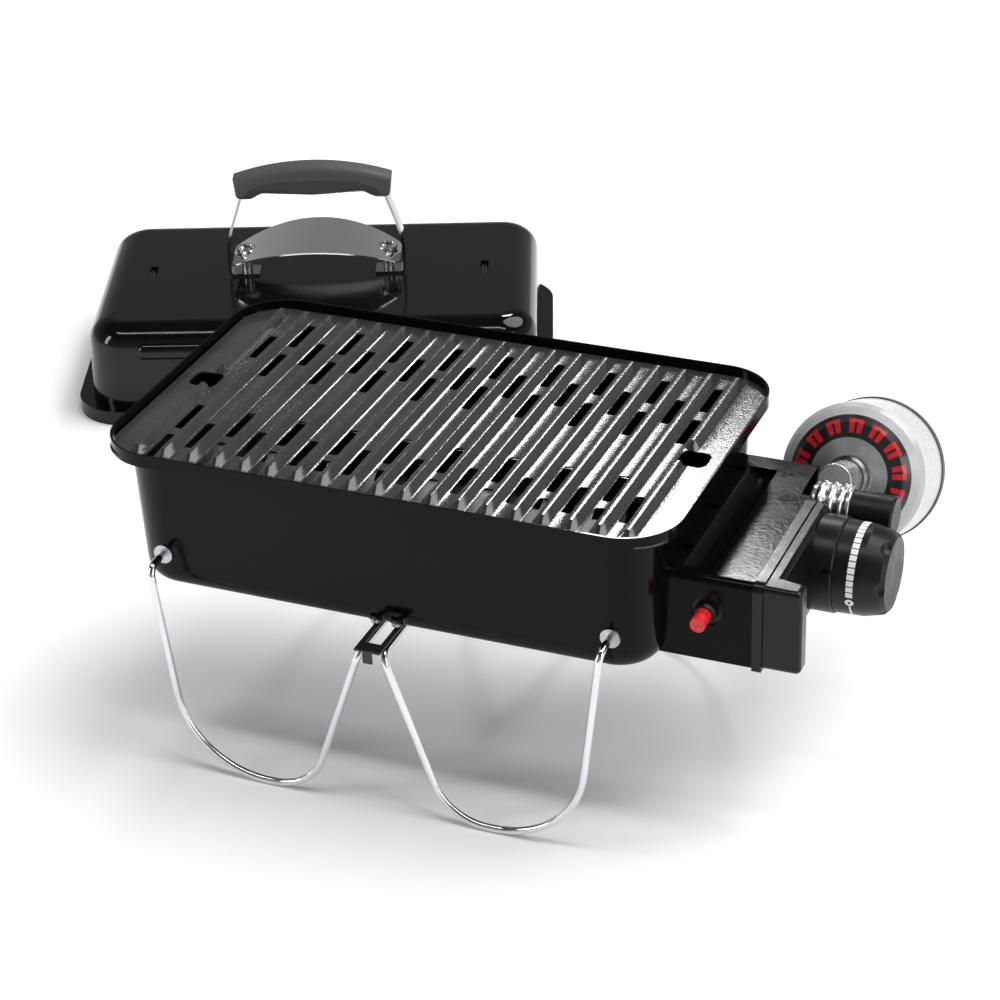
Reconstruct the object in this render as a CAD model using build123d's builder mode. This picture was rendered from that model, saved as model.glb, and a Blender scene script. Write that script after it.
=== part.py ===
from build123d import *
from math import atan, cos, degrees, radians, sin, sqrt, tan
import os

os.makedirs("parts", exist_ok=True)

# Portable tabletop gas grill. Origin on the table under the middle of the bowl,
# X along the long side with the control box at +X, Y to the back, Z up.
# All lengths in millimetres, angles in degrees.

# ---- firebox bowl ----
sheet = 1.5
rim_length = 430.0
rim_width = 267.0
rim_corner = 42.0
rim_top = 255.0
lip_height = 10.0
lip_step = 12.0
wall_taper = 2.5
bowl_depth = 108.5
bowl_edge_radius = 18.0

shoulder = rim_top - lip_height
bowl_floor = shoulder - bowl_depth
wall_length = rim_length - 2 * lip_step
wall_width = rim_width - 2 * lip_step
wall_corner = rim_corner - 6.0


def half_width_at(height):
    return wall_width / 2 - (shoulder - height) * tan(radians(wall_taper))


def half_length_at(height):
    return wall_length / 2 - (shoulder - height) * tan(radians(wall_taper))


# ---- folding wire legs ----
leg_wire = 5.5
leg_running_gap = 0.05
leg_pivot_x = rim_length / 2 - 43.5
leg_pivot_z = rim_top - 88.0
leg_stand_out = 6.5
leg_plane_y = rim_width / 2 + leg_stand_out
leg_foot_outer_x = leg_pivot_x - 20.5
leg_foot_inner_x = 54.3
leg_bar_x = 8.4
leg_tail = 9.0
leg_neck_bend = 9.0
leg_outer_bend = 70.0
leg_inner_bend = 43.0
leg_bar_bend = 10.0
bush_flange_radius = 7.25
bush_flange = 1.6
bush_sleeve = 1.0
bush_wall_gap = 0.05

# ---- leg catch under the bowl ----
catch_sheet = 1.5
catch_width = 20.0
catch_window = 12.0
catch_reach = leg_plane_y + 6.0
catch_root = catch_reach - 68.0
catch_bar_gap = 0.4
catch_bridge = 11.0
catch_window_length = 38.0
catch_ear = 5.0
catch_ear_length = 15.4
catch_tab = 7.0
catch_tab_drop = 9.0
catch_screw_spacing = 16.0
catch_screw = 1.5
catch_screw_head = 2.9
leg_bar_z = bowl_floor - catch_sheet - catch_bar_gap - leg_wire / 2

# ---- cooking grate ----
grate_sheet = 1.4
grate_fit = 3.5
grate_length = rim_length - 2 * sheet - grate_fit
grate_width = rim_width - 2 * sheet - grate_fit
ridge_count = 19
ridge_margin = 27.25
ridge_pitch = (grate_length - 2 * ridge_margin) / (ridge_count - 1)
ridge_base = 11.0
ridge_crest = 3.0
ridge_rise = 6.2
ridge_end = 8.25
ridge_length = grate_width - 2 * ridge_end
slot_length = 38.0
slot_width = 7.0
back_slot_rows = [ridge_length / 2 - inset for inset in (34.0, 59.5, 85.0)]
front_slot_rows = [inset - ridge_length / 2 for inset in (64.5, 40.5, 17.0)]
finger_hole_x = grate_length / 2 - 20.75
finger_hole = 22.0
finger_hole_corner = 7.0

# ---- flame tamer and burner ----
tamer_sheet = 1.2
tamer_end_gap = 7.36
tamer_half = 52.0
tamer_foot = 8.0
tamer_crest = 12.0
tamer_rise = 30.0
tamer_hole = 9.0
tamer_hole_pitch = 24.0
ledge_z = rim_top - 59.0
ledge_depth = 18.0
ledge_width = 126.0
ledge_drop = 12.0
ledge_web = 2.4
tamer_length = 2 * (half_length_at(ledge_z) - sheet - tamer_end_gap)
tamer_hole_count = int(tamer_length / tamer_hole_pitch) - 2
burner_radius = 11.0
burner_wall = 1.0
burner_z = rim_top - 82.0
burner_left_x = 47.0 - rim_length / 2
burner_inlet_x = rim_length / 2 + 17.0
burner_bell = 14.0
burner_hole_gap = 0.6
port_radius = 1.2
port_pitch = 12.0
port_first = 22.0
port_count = int((burner_inlet_x - burner_left_x - 76.0) / port_pitch)
bracket_sheet = 1.5
bracket_width = 34.0

# ---- control box ----
box_right = rim_length / 2 + 47.0
box_front = 86.0
box_back = 95.0
box_bottom = rim_top - 112.5
box_top = box_bottom + 65.0
box_sheet = 1.5
box_edge = 6.0
box_inner_left = wall_length / 2 + 2.0
box_hole_left = box_inner_left - 15.0
box_hole_right = box_inner_left + 5.0
gutter_x = box_right - 43.0
gutter_radius = 13.0
gutter_depth = 5.5
gutter_half = 76.0
tab_slot_rows = (-50.0, 10.0, 68.0)
tab_slot_left = box_right - 64.0
tab_slot_right = tab_slot_left + 8.5
tab_slot_half = 2.6
air_slot_rows = (-40.0, -20.0, 20.0, 40.0)
air_slot_left = box_right - 40.0
air_slot_right = box_right - 8.0
air_slot_half = 3.0
notch_x = box_right - 7.0
notch_y = 46.0
notch_bottom = box_bottom + 7.5
igniter_x = box_right - 33.0
igniter_z = box_bottom + 38.5
igniter_window = 11.0
box_screw = 2.0
box_screw_z = box_bottom + 17.5
box_screw_rows = (-60.0, 66.0)

# ---- end cap ----
cap_wall = 2.0
cap_front_x = box_right + 34.0
cap_face_x = box_right + 17.0
cap_lobe = 15.0
cap_lobe_slope = 4.0
cap_corner_cut = 6.0
cap_back_y = notch_y - 2.0
cap_band = 7.0
cap_band_rise = 1.5
cap_edge = 4.0
cap_spigot = 7.0
cap_spigot_gap = 0.3

# ---- valve, knob and collar ----
knob_y = 17.4
knob_z = burner_z
knob_base_radius = 33.4
collar_radius = knob_base_radius + 1.1
collar_end_x = cap_front_x
collar_wall = 2.5
collar_floor = 3.0
pointer_angle = 20.0
knob_gap = 0.5
knob_draft = 3.9
knob_end_radius = knob_base_radius - knob_draft
knob_end_x = collar_end_x + 36.6
knob_wall = 3.0
knob_scallops = 6
first_scallop = 56.0
scallop_radius = 9.0
knob_boss = 8.0
stem_radius = 4.0
stem_gap = 0.08
valve_radius = 12.0
valve_left_x = box_right - 26.0
valve_right_x = cap_front_x - 8.0
neck_radius = 7.5
neck_x = box_right + 4.0
neck_end_z = knob_z + 11.0
jet_radius = 4.5
jet_reach = 6.0

# ---- regulator ----
regulator_y = notch_y + 24.0
regulator_z = knob_z + 15.0
regulator_radius = 17.0
regulator_left_x = notch_x + 2.5
regulator_right_x = regulator_left_x + 30.0
bonnet_radius = 15.0
bonnet_end_x = regulator_right_x + 31.5
bonnet_bore = 12.0
inlet_radius = 13.0
thread_radius = 5.55
can_neck_radius = 5.5

# ---- gas cartridge ----
can_x = notch_x + 15.0
can_y = regulator_y + 57.0
can_z = regulator_z - 5.0
can_tilt = 23.0
can_radius = 54.0
can_length = 66.0
can_wall = 0.8
can_dome = 12.0
cup_radius = 16.0
cup_height = 7.0
seat_gap = 0.3

# ---- lid and handle, drawn where the lid lies on the table ----
lid_x = -352.0
lid_y = 513.7
lid_turn = 21.2
lid_sheet = 1.2
lid_rim_gap = 1.2
lid_height = 88.0
lid_skirt = 13.0
lid_inset = 12.0
lid_taper = 2.0
lid_top_radius = 22.0
lid_corner = 36.0
dent_x = leg_pivot_x - 16.5
dent_length = 34.0
dent_radius = 4.0
louvre_end = 55.4
louvre_z = 66.0
louvre_radius = 9.0
louvre_rise = 3.5
strap_sheet = 2.4
strap_width = 20.0
strap_foot_inner = 54.0
strap_shoulder_x = 81.0
strap_shoulder_z = 122.0
strap_top_x = 66.0
strap_top_z = 172.0
strap_bar_z = 188.0
strap_bar_x = 44.0
grip_length = 146.0
grip_width = 24.0
grip_middle_z = 196.5
grip_drop = 12.0
grip_edge = 6.0
grip_foot_z = 164.5
grip_foot_x = grip_length / 2 - 16.0
palm_x = grip_foot_x - 10.0
palm_z = 170.0
palm_drop = 2.5
insert_x = grip_length / 2 - 7.0
insert_z = 183.0
insert_gap = 0.3
rib_radius = 2.2
rib_pitch = 5.8
rib_count = 2 * int((palm_x - 6.0) / rib_pitch) + 1
shield_length = 156.0
shield_width = 82.0
shield_end_width = 43.0
shield_dish = 9.3
shield_dish_rise = 4.5
shield_sheet = 1.2
shield_crown = 124.5
shield_edge = 104.5
bolt_x = 66.0
bolt_radius = 2.5
bolt_head = 5.5
spacer_radius = 5.0

# ---- igniter ----
button_radius = 5.5
button_gap = 0.35
button_reach = 20.0
button_travel = 6.0
barrel_radius = 8.0
igniter_flange = 14.5
igniter_body_radius = 9.0
igniter_length = 44.0
spring_radius = 3.4
spring_wire = 0.6
electrode_y = 20.0
electrode_z = burner_z + 15.0
ceramic_radius = 3.2
electrode_wire = 1.0
lead_radius = 1.6


def turning_plane(base, along, outward):
    # sketch plane whose x is the radius and whose y runs along the turning axis
    return Plane(origin=base, x_dir=outward, z_dir=Vector(*outward).cross(Vector(*along)))


def turn(points, base, along, outward=(1, 0, 0), mode=Mode.ADD):
    # revolve a closed outline of (radius, distance along the axis) corners
    with BuildSketch(turning_plane(base, along, outward)) as section:
        with BuildLine():
            Polyline(*points, close=True)
        make_face()
    revolve(section.sketch, axis=Axis(base, along), mode=mode)


def peg(radius, start, end, mode=Mode.ADD):
    # plain round bar between two points
    axis = Vector(*end) - Vector(*start)
    with BuildSketch(Plane(origin=start, z_dir=axis)) as section:
        Circle(radius)
    extrude(section.sketch, amount=axis.length, mode=mode)


def block(low, high, mode=Mode.ADD):
    # box between two opposite corners
    size = [b - a for a, b in zip(low, high)]
    middle = [(a + b) / 2 for a, b in zip(low, high)]
    with Locations(tuple(middle)):
        Box(*size, mode=mode)


# ================= bowl =================
with BuildPart() as bowl_outside:
    with BuildSketch(Plane.XY.offset(shoulder)):
        RectangleRounded(wall_length, wall_width, wall_corner)
    extrude(amount=bowl_depth, dir=(0, 0, -1), taper=wall_taper)
    fillet(bowl_outside.faces().sort_by(Axis.Z)[0].edges(), radius=bowl_edge_radius)
    with BuildSketch(Plane.XY.offset(shoulder)):
        RectangleRounded(rim_length, rim_width, rim_corner)
    extrude(amount=lip_height)

with BuildPart() as bowl_room:
    with BuildSketch(Plane.XY.offset(shoulder + sheet)):
        RectangleRounded(wall_length - 2 * sheet, wall_width - 2 * sheet, wall_corner - sheet)
    extrude(amount=bowl_depth, dir=(0, 0, -1), taper=wall_taper)
    fillet(bowl_room.faces().sort_by(Axis.Z)[0].edges(), radius=bowl_edge_radius - sheet)
    with BuildSketch(Plane.XY.offset(shoulder + sheet)):
        RectangleRounded(rim_length - 2 * sheet, rim_width - 2 * sheet, rim_corner - sheet)
    extrude(amount=lip_height)

pivot_wall_y = half_width_at(leg_pivot_z)
sleeve_radius = leg_wire / 2 + leg_running_gap + bush_sleeve
ear_angle = 45.0
ear_y = half_width_at(bowl_floor + bowl_edge_radius) - bowl_edge_radius * (1 - cos(radians(ear_angle)))
ear_z = bowl_floor + bowl_edge_radius * (1 - sin(radians(ear_angle)))
burner_wall_x = half_length_at(burner_z)

with BuildPart() as bowl:
    add(bowl_outside.part)
    add(bowl_room.part, mode=Mode.SUBTRACT)
    for side_x in (-1, 1):
        for side_y in (-1, 1):
            hole_x = side_x * leg_pivot_x
            peg(sleeve_radius + bush_wall_gap, (hole_x, side_y * (pivot_wall_y - 8), leg_pivot_z),
                (hole_x, side_y * (pivot_wall_y + 8), leg_pivot_z), mode=Mode.SUBTRACT)
    for side_y in (-1, 1):
        for screw_x in (-catch_screw_spacing / 2, catch_screw_spacing / 2):
            peg(catch_screw + 0.2, (screw_x, side_y * (ear_y - 4), ear_z + 4),
                (screw_x, side_y * (ear_y + 4), ear_z - 4), mode=Mode.SUBTRACT)
    peg(burner_radius + burner_hole_gap, (burner_wall_x - 10, 0, burner_z),
        (burner_wall_x + 10, 0, burner_z), mode=Mode.SUBTRACT)
    peg(ceramic_radius + 0.3, (burner_wall_x - 10, electrode_y, electrode_z),
        (burner_wall_x + 10, electrode_y, electrode_z), mode=Mode.SUBTRACT)
    for screw_y in box_screw_rows:
        peg(box_screw + 0.1, (burner_wall_x - 10, screw_y, box_screw_z),
            (burner_wall_x + 10, screw_y, box_screw_z), mode=Mode.SUBTRACT)
bowl.part.label = "bowl"
export_step(bowl.part, "parts/bowl.step")

# ================= legs, bushes and catch =================
with BuildPart() as leg_bushes:
    for side_x in (-1, 1):
        for side_y in (-1, 1):
            hole_x = side_x * leg_pivot_x
            inner_y = side_y * (pivot_wall_y - sheet - 1.0)
            wall_y = side_y * (pivot_wall_y - 0.5)
            outer_y = side_y * (pivot_wall_y + bush_flange)
            peg(sleeve_radius, (hole_x, inner_y, leg_pivot_z), (hole_x, outer_y, leg_pivot_z))
            peg(bush_flange_radius, (hole_x, wall_y, leg_pivot_z), (hole_x, outer_y, leg_pivot_z))
            peg(leg_wire / 2 + leg_running_gap, (hole_x, inner_y - side_y, leg_pivot_z),
                (hole_x, outer_y + side_y, leg_pivot_z), mode=Mode.SUBTRACT)
    add(bowl.part, mode=Mode.SUBTRACT)
leg_bushes.part.label = "leg_bushes"
export_step(leg_bushes.part, "parts/leg_bushes.step")

leg_tail_y = pivot_wall_y - leg_tail


def leg_points(side):
    # one bent wire: front pivot, foot bow, cross bar under the bowl, back foot bow, back pivot
    return [
        (side * leg_pivot_x, -leg_tail_y, leg_pivot_z),
        (side * leg_pivot_x, -leg_plane_y, leg_pivot_z),
        (side * leg_foot_outer_x, -leg_plane_y, leg_wire / 2),
        (side * leg_foot_inner_x, -leg_plane_y, leg_wire / 2),
        (side * leg_bar_x, -leg_plane_y, leg_bar_z),
        (side * leg_bar_x, leg_plane_y, leg_bar_z),
        (side * leg_foot_inner_x, leg_plane_y, leg_wire / 2),
        (side * leg_foot_outer_x, leg_plane_y, leg_wire / 2),
        (side * leg_pivot_x, leg_plane_y, leg_pivot_z),
        (side * leg_pivot_x, leg_tail_y, leg_pivot_z),
    ]


leg_bends = [leg_neck_bend, leg_outer_bend, leg_inner_bend, leg_bar_bend,
             leg_bar_bend, leg_inner_bend, leg_outer_bend, leg_neck_bend]

with BuildPart() as leg_left:
    with BuildLine() as left_route:
        FilletPolyline(*leg_points(-1), radius=leg_bends)
    with BuildSketch(Plane(origin=left_route.wire() @ 0, z_dir=left_route.wire() % 0)):
        Circle(leg_wire / 2)
    sweep(path=left_route.wire())
leg_left.part.label = "leg_left"
export_step(leg_left.part, "parts/leg_left.step")

with BuildPart() as leg_right:
    with BuildLine() as right_route:
        FilletPolyline(*leg_points(1), radius=leg_bends)
    with BuildSketch(Plane(origin=right_route.wire() @ 0, z_dir=right_route.wire() % 0)):
        Circle(leg_wire / 2)
    sweep(path=right_route.wire())
leg_right.part.label = "leg_right"
export_step(leg_right.part, "parts/leg_right.step")

catch_low = bowl_floor - catch_sheet
with BuildPart() as leg_catch:
    for side_y in (-1, 1):
        near = side_y * catch_root
        far = side_y * catch_reach
        block((-catch_width / 2, min(near, far), catch_low), (catch_width / 2, max(near, far), bowl_floor))
        window_far = side_y * (catch_reach - catch_bridge)
        window_near = side_y * (catch_reach - catch_bridge - catch_window_length)
        block((-catch_window / 2, min(window_near, window_far), catch_low - 1),
              (catch_window / 2, max(window_near, window_far), bowl_floor + 1), mode=Mode.SUBTRACT)
        tab_y = side_y * (catch_reach - catch_sheet)
        block((-catch_tab / 2, min(tab_y, far), catch_low - catch_tab_drop),
              (catch_tab / 2, max(tab_y, far), catch_low + 0.5))
        # ears folded up against the rounded lower edge of the bowl
        for screw_x in (-catch_screw_spacing / 2, catch_screw_spacing / 2):
            lean = Vector(0, side_y * cos(radians(ear_angle)), -sin(radians(ear_angle)))
            with BuildSketch(Plane(origin=(screw_x, side_y * ear_y, ear_z), x_dir=(1, 0, 0), z_dir=lean)):
                Rectangle(catch_ear, catch_ear_length)
            extrude(amount=catch_sheet)
    add(bowl_outside.part, mode=Mode.SUBTRACT)
    for side_y in (-1, 1):
        for screw_x in (-catch_screw_spacing / 2, catch_screw_spacing / 2):
            peg(catch_screw + 0.1, (screw_x, side_y * (ear_y - 4), ear_z + 4),
                (screw_x, side_y * (ear_y + 4), ear_z - 4), mode=Mode.SUBTRACT)
leg_catch.part.label = "leg_catch"
export_step(leg_catch.part, "parts/leg_catch.step")

with BuildPart() as catch_screws:
    for side_y in (-1, 1):
        for screw_x in (-catch_screw_spacing / 2, catch_screw_spacing / 2):
            out = Vector(0, side_y * cos(radians(ear_angle)), -sin(radians(ear_angle)))
            face = Vector(screw_x, side_y * ear_y, ear_z) + out * catch_sheet
            turn([(0, -6), (catch_screw, -6), (catch_screw, 0), (catch_screw_head, 0),
                  (catch_screw_head, 0.8), (catch_screw_head * 0.7, 1.7), (0, 2.1)],
                 tuple(face), tuple(out))
catch_screws.part.label = "catch_screws"
export_step(catch_screws.part, "parts/catch_screws.step")

# ================= cooking grate =================
grate_floor = shoulder + sheet
grate_corner = rim_corner - sheet - grate_fit / 2
ridge_side = degrees(atan((ridge_base - ridge_crest) / 2 / ridge_rise))
ridge_spots = [(n - (ridge_count - 1) / 2) * ridge_pitch for n in range(ridge_count)]
valley_spots = [(n - (ridge_count - 2) / 2) * ridge_pitch for n in range(ridge_count - 1)]

with BuildPart() as cooking_grate:
    with BuildSketch(Plane.XY.offset(grate_floor)):
        RectangleRounded(grate_length, grate_width, grate_corner)
    extrude(amount=grate_sheet)
    with BuildSketch(Plane.XY.offset(grate_floor + grate_sheet)):
        with Locations(*[(x, 0) for x in ridge_spots]):
            Rectangle(ridge_base, ridge_length)
    extrude(amount=ridge_rise, taper=ridge_side)
    with BuildSketch(Plane.XY.offset(grate_floor)):
        with Locations(*[(x, 0) for x in ridge_spots]):
            Rectangle(ridge_base - 0.8, ridge_length - 2 * grate_sheet)
    extrude(amount=ridge_rise, taper=ridge_side, mode=Mode.SUBTRACT)
    with BuildSketch(Plane.XY.offset(grate_floor)):
        for n, x in enumerate(valley_spots):
            rows = [back_slot_rows[1], front_slot_rows[0], front_slot_rows[2]]
            if n % 2 == 1:
                rows = [back_slot_rows[0], back_slot_rows[2], front_slot_rows[1]]
            with Locations(*[(x, y) for y in rows]):
                SlotOverall(slot_length, slot_width, rotation=90)
        with Locations((-finger_hole_x, 0), (finger_hole_x, 0)):
            RectangleRounded(finger_hole, finger_hole, finger_hole_corner)
    extrude(amount=ridge_rise + 4, mode=Mode.SUBTRACT)
cooking_grate.part.label = "cooking_grate"
export_step(cooking_grate.part, "parts/cooking_grate.step")

# ================= flame tamer, ledges, burner =================
tamer_outline = [(-tamer_half - tamer_foot, 0), (-tamer_half, 0), (-tamer_crest / 2, tamer_rise),
                 (tamer_crest / 2, tamer_rise), (tamer_half, 0), (tamer_half + tamer_foot, 0)]
with BuildPart() as flame_tamer:
    with BuildSketch(Plane(origin=(-tamer_length / 2, 0, ledge_z), x_dir=(0, 1, 0), z_dir=(1, 0, 0))):
        with BuildLine():
            Polyline(*tamer_outline)
            offset(amount=tamer_sheet, side=Side.LEFT)
        make_face()
    extrude(amount=tamer_length)
    for n in range(tamer_hole_count):
        hole_x = (n - (tamer_hole_count - 1) / 2) * tamer_hole_pitch
        for side_y in (-1, 1):
            with Locations((hole_x, side_y * tamer_half * 0.55, ledge_z + tamer_rise * 0.5)):
                Box(tamer_hole, 16, 40, mode=Mode.SUBTRACT)
flame_tamer.part.label = "flame_tamer"
export_step(flame_tamer.part, "parts/flame_tamer.step")

with BuildPart() as tamer_ledges:
    for side_x in (-1, 1):
        wall_x = side_x * half_length_at(ledge_z)
        inner_x = side_x * (half_length_at(ledge_z) - sheet - ledge_depth)
        block((min(wall_x, inner_x), -ledge_width / 2, ledge_z - sheet),
              (max(wall_x, inner_x), ledge_width / 2, ledge_z))
        web_x = side_x * (half_length_at(ledge_z) - sheet - ledge_web)
        block((min(wall_x, web_x), -ledge_width / 2, ledge_z - ledge_drop),
              (max(wall_x, web_x), ledge_width / 2, ledge_z))
        if side_x == 1:
            peg(ceramic_radius + 0.6, (inner_x - 5, electrode_y, electrode_z), (wall_x + 5, electrode_y, electrode_z),
                mode=Mode.SUBTRACT)
            peg(burner_radius + 1.0, (inner_x - 5, 0, burner_z), (wall_x + 5, 0, burner_z), mode=Mode.SUBTRACT)
    add(bowl_room.part, mode=Mode.INTERSECT)
tamer_ledges.part.label = "tamer_ledges"
export_step(tamer_ledges.part, "parts/tamer_ledges.step")

with BuildPart() as burner_tube:
    turn([(burner_radius - burner_wall, 3), (burner_radius - burner_wall, burner_inlet_x - burner_left_x - 10),
          (burner_bell - burner_wall, burner_inlet_x - burner_left_x),
          (burner_bell, burner_inlet_x - burner_left_x),
          (burner_radius, burner_inlet_x - burner_left_x - 11),
          (burner_radius, 0), (0, 0), (0, 3)],
         (burner_left_x, 0, burner_z), (1, 0, 0), outward=(0, 0, 1))
    for n in range(port_count):
        port_x = burner_left_x + port_first + n * port_pitch
        for side_y in (-1, 1):
            peg(port_radius, (port_x, 0, burner_z), (port_x, side_y * 12, burner_z + 9), mode=Mode.SUBTRACT)
burner_tube.part.label = "burner_tube"
export_step(burner_tube.part, "parts/burner_tube.step")

bracket_x = burner_left_x + 6
with BuildPart() as burner_bracket:
    block((bracket_x, -bracket_width / 2, bowl_floor + sheet), (bracket_x + bracket_sheet, bracket_width / 2,
          burner_z + 2))
    block((bracket_x, -bracket_width / 2, bowl_floor + sheet),
          (bracket_x + 16, bracket_width / 2, bowl_floor + sheet + bracket_sheet))
    peg(burner_radius + 0.05, (bracket_x - 5, 0, burner_z), (bracket_x + 5, 0, burner_z), mode=Mode.SUBTRACT)
burner_bracket.part.label = "burner_bracket"
export_step(burner_bracket.part, "parts/burner_bracket.step")

# ================= control box =================
with BuildPart() as control_box:
    block((half_length_at(box_bottom) - 6, -box_front, box_bottom), (box_right, box_back, box_top))
    long_edges = control_box.edges().filter_by(Axis.X).group_by(Axis.Z)[-1]
    fillet(long_edges, radius=box_edge)
    block((box_inner_left, -box_front + box_sheet, box_bottom + box_sheet),
          (box_right + 1, box_back - box_sheet, box_top - box_edge), mode=Mode.SUBTRACT)
    block((box_inner_left, -box_front + box_edge, box_bottom + box_sheet),
          (box_right + 1, box_back - box_edge, box_top - box_sheet), mode=Mode.SUBTRACT)
    # rolled gutter along the bowl side of the top
    gutter_axis_z = box_top + gutter_radius - gutter_depth
    lining = gutter_radius + box_sheet
    peg(lining, (gutter_x, -gutter_half, gutter_axis_z), (gutter_x, gutter_half, gutter_axis_z))
    peg(gutter_radius, (gutter_x, -gutter_half + box_sheet, gutter_axis_z),
        (gutter_x, gutter_half - box_sheet, gutter_axis_z), mode=Mode.SUBTRACT)
    block((gutter_x - lining - 1, -gutter_half - 1, box_top),
          (gutter_x + lining + 1, gutter_half + 1, box_top + 2 * lining), mode=Mode.SUBTRACT)
    for tab_y in tab_slot_rows:
        block((tab_slot_left, tab_y - tab_slot_half, box_top - box_edge),
              (tab_slot_right, tab_y + tab_slot_half, box_top + 1), mode=Mode.SUBTRACT)
    # corner cut away for the regulator
    block((notch_x, notch_y, notch_bottom), (box_right + 1, box_back + 1, box_top + 1), mode=Mode.SUBTRACT)
    # round window for the igniter with a small key slot
    peg(igniter_window, (igniter_x, -box_front - 1, igniter_z), (igniter_x, -box_front + 4, igniter_z),
        mode=Mode.SUBTRACT)
    block((igniter_x + 3, -box_front - 1, igniter_z + 6), (igniter_x + 8, -box_front + 4, igniter_z + 14),
          mode=Mode.SUBTRACT)
    # air slots in the bottom
    for slot_y in air_slot_rows:
        block((air_slot_left, slot_y - air_slot_half, box_bottom - 1),
              (air_slot_right, slot_y + air_slot_half, box_bottom + 3), mode=Mode.SUBTRACT)
    peg(burner_radius + burner_hole_gap, (box_hole_left, 0, burner_z), (box_hole_right, 0, burner_z),
        mode=Mode.SUBTRACT)
    peg(ceramic_radius + 0.6, (box_hole_left, electrode_y, electrode_z),
        (box_hole_right, electrode_y, electrode_z), mode=Mode.SUBTRACT)
    for screw_y in box_screw_rows:
        peg(box_screw + 0.1, (box_hole_left, screw_y, box_screw_z), (box_hole_right, screw_y, box_screw_z),
            mode=Mode.SUBTRACT)
    add(bowl_outside.part, mode=Mode.SUBTRACT)
control_box.part.label = "control_box"
export_step(control_box.part, "parts/control_box.step")

def cap_outline(inset):
    # plan of the end cap: a lobe at the front, then a flat face that carries the knob
    lobe_back = -box_front + cap_lobe
    return [(box_right - 1, -box_front + inset), (cap_front_x - inset, -box_front + inset),
            (cap_front_x - inset, lobe_back - inset), (cap_face_x - inset, lobe_back + cap_lobe_slope - inset),
            (cap_face_x - inset, cap_back_y - cap_corner_cut - inset / 2),
            (cap_face_x - cap_corner_cut - inset / 2, cap_back_y - inset), (box_right - 1, cap_back_y - inset)]


band_right = box_right + cap_band
with BuildPart() as cap_strap:
    # raised band that covers the joint with the box
    block((box_right, -box_front - cap_band_rise, box_bottom - cap_band_rise),
          (band_right, cap_back_y, box_top + cap_band_rise))
    fillet(cap_strap.edges().filter_by(Axis.X).sort_by(Axis.Z)[-2:], radius=box_edge + cap_band_rise)

with BuildPart() as end_cap:
    with BuildSketch(Plane.XY.offset(box_bottom)):
        with BuildLine():
            Polyline(*cap_outline(0), close=True)
        make_face()
    extrude(amount=box_top - box_bottom)
    lobe_corners = end_cap.edges().filter_by(Axis.Z).filter_by(lambda e: e.center().X > cap_front_x - 1)
    fillet(lobe_corners, radius=cap_edge)
    cap_rims = end_cap.edges().filter_by(lambda e: e.center().X > band_right - 4
                                         and abs(abs(e.center().Z - (box_top + box_bottom) / 2)
                                                 - (box_top - box_bottom) / 2) < 0.1)
    fillet(cap_rims, radius=cap_edge)
    add(cap_strap.part)
    with BuildSketch(Plane.XY.offset(box_bottom + cap_wall)):
        with BuildLine():
            Polyline(*cap_outline(cap_wall + 0.5), close=True)
        make_face()
    extrude(amount=box_top - box_bottom - 2 * cap_wall - 3, mode=Mode.SUBTRACT)
    block((box_right - 2, -box_front - 5, box_bottom - 5), (box_right, box_back, box_top + 5), mode=Mode.SUBTRACT)
    # spigot that plugs into the open end of the box
    low = (box_right - cap_spigot, -box_front + box_sheet + cap_spigot_gap, box_bottom + box_sheet + cap_spigot_gap)
    high = (box_right + 3, cap_back_y - 0.6, box_top - box_edge - cap_spigot_gap)
    block(low, high)
    block((low[0] - 1, low[1] + cap_wall, low[2] + cap_wall), (high[0] + 1, high[1] - cap_wall, high[2] - cap_wall),
          mode=Mode.SUBTRACT)
    peg(valve_radius + 1.0, (box_right, knob_y, knob_z), (cap_front_x + 4, knob_y, knob_z), mode=Mode.SUBTRACT)
    # way through the back of the cap for the neck that joins valve and regulator
    neck_rise = (neck_end_z - knob_z) / (regulator_y - knob_y)
    neck_start_y = cap_back_y - 10
    neck_stop_y = cap_back_y + 14
    peg(neck_radius + 1.0, (neck_x, neck_start_y, knob_z + neck_rise * (neck_start_y - knob_y)),
        (neck_x, neck_stop_y, knob_z + neck_rise * (neck_stop_y - knob_y)), mode=Mode.SUBTRACT)
end_cap.part.label = "end_cap"
export_step(end_cap.part, "parts/end_cap.step")

# collar round the knob, fixed to the flat face of the cap
collar_long = collar_end_x - cap_face_x
with BuildPart() as knob_collar:
    turn([(collar_radius - collar_wall, 0), (collar_radius, 0), (collar_radius, collar_long - 1),
          (collar_radius - 1, collar_long), (collar_radius - collar_wall, collar_long)],
         (cap_face_x, knob_y, knob_z), (1, 0, 0), outward=(0, 0, 1))
    turn([(valve_radius + 1.0, 0), (collar_radius - 1, 0), (collar_radius - 1, collar_floor),
          (valve_radius + 1.0, collar_floor)],
         (cap_face_x, knob_y, knob_z), (1, 0, 0), outward=(0, 0, 1))
    with Locations((collar_end_x - 3, knob_y - collar_radius * cos(radians(pointer_angle)),
                    knob_z + collar_radius * sin(radians(pointer_angle)))):
        Box(8, 5, 3.5, mode=Mode.SUBTRACT)
knob_collar.part.label = "knob_collar"
export_step(knob_collar.part, "parts/knob_collar.step")

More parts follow.
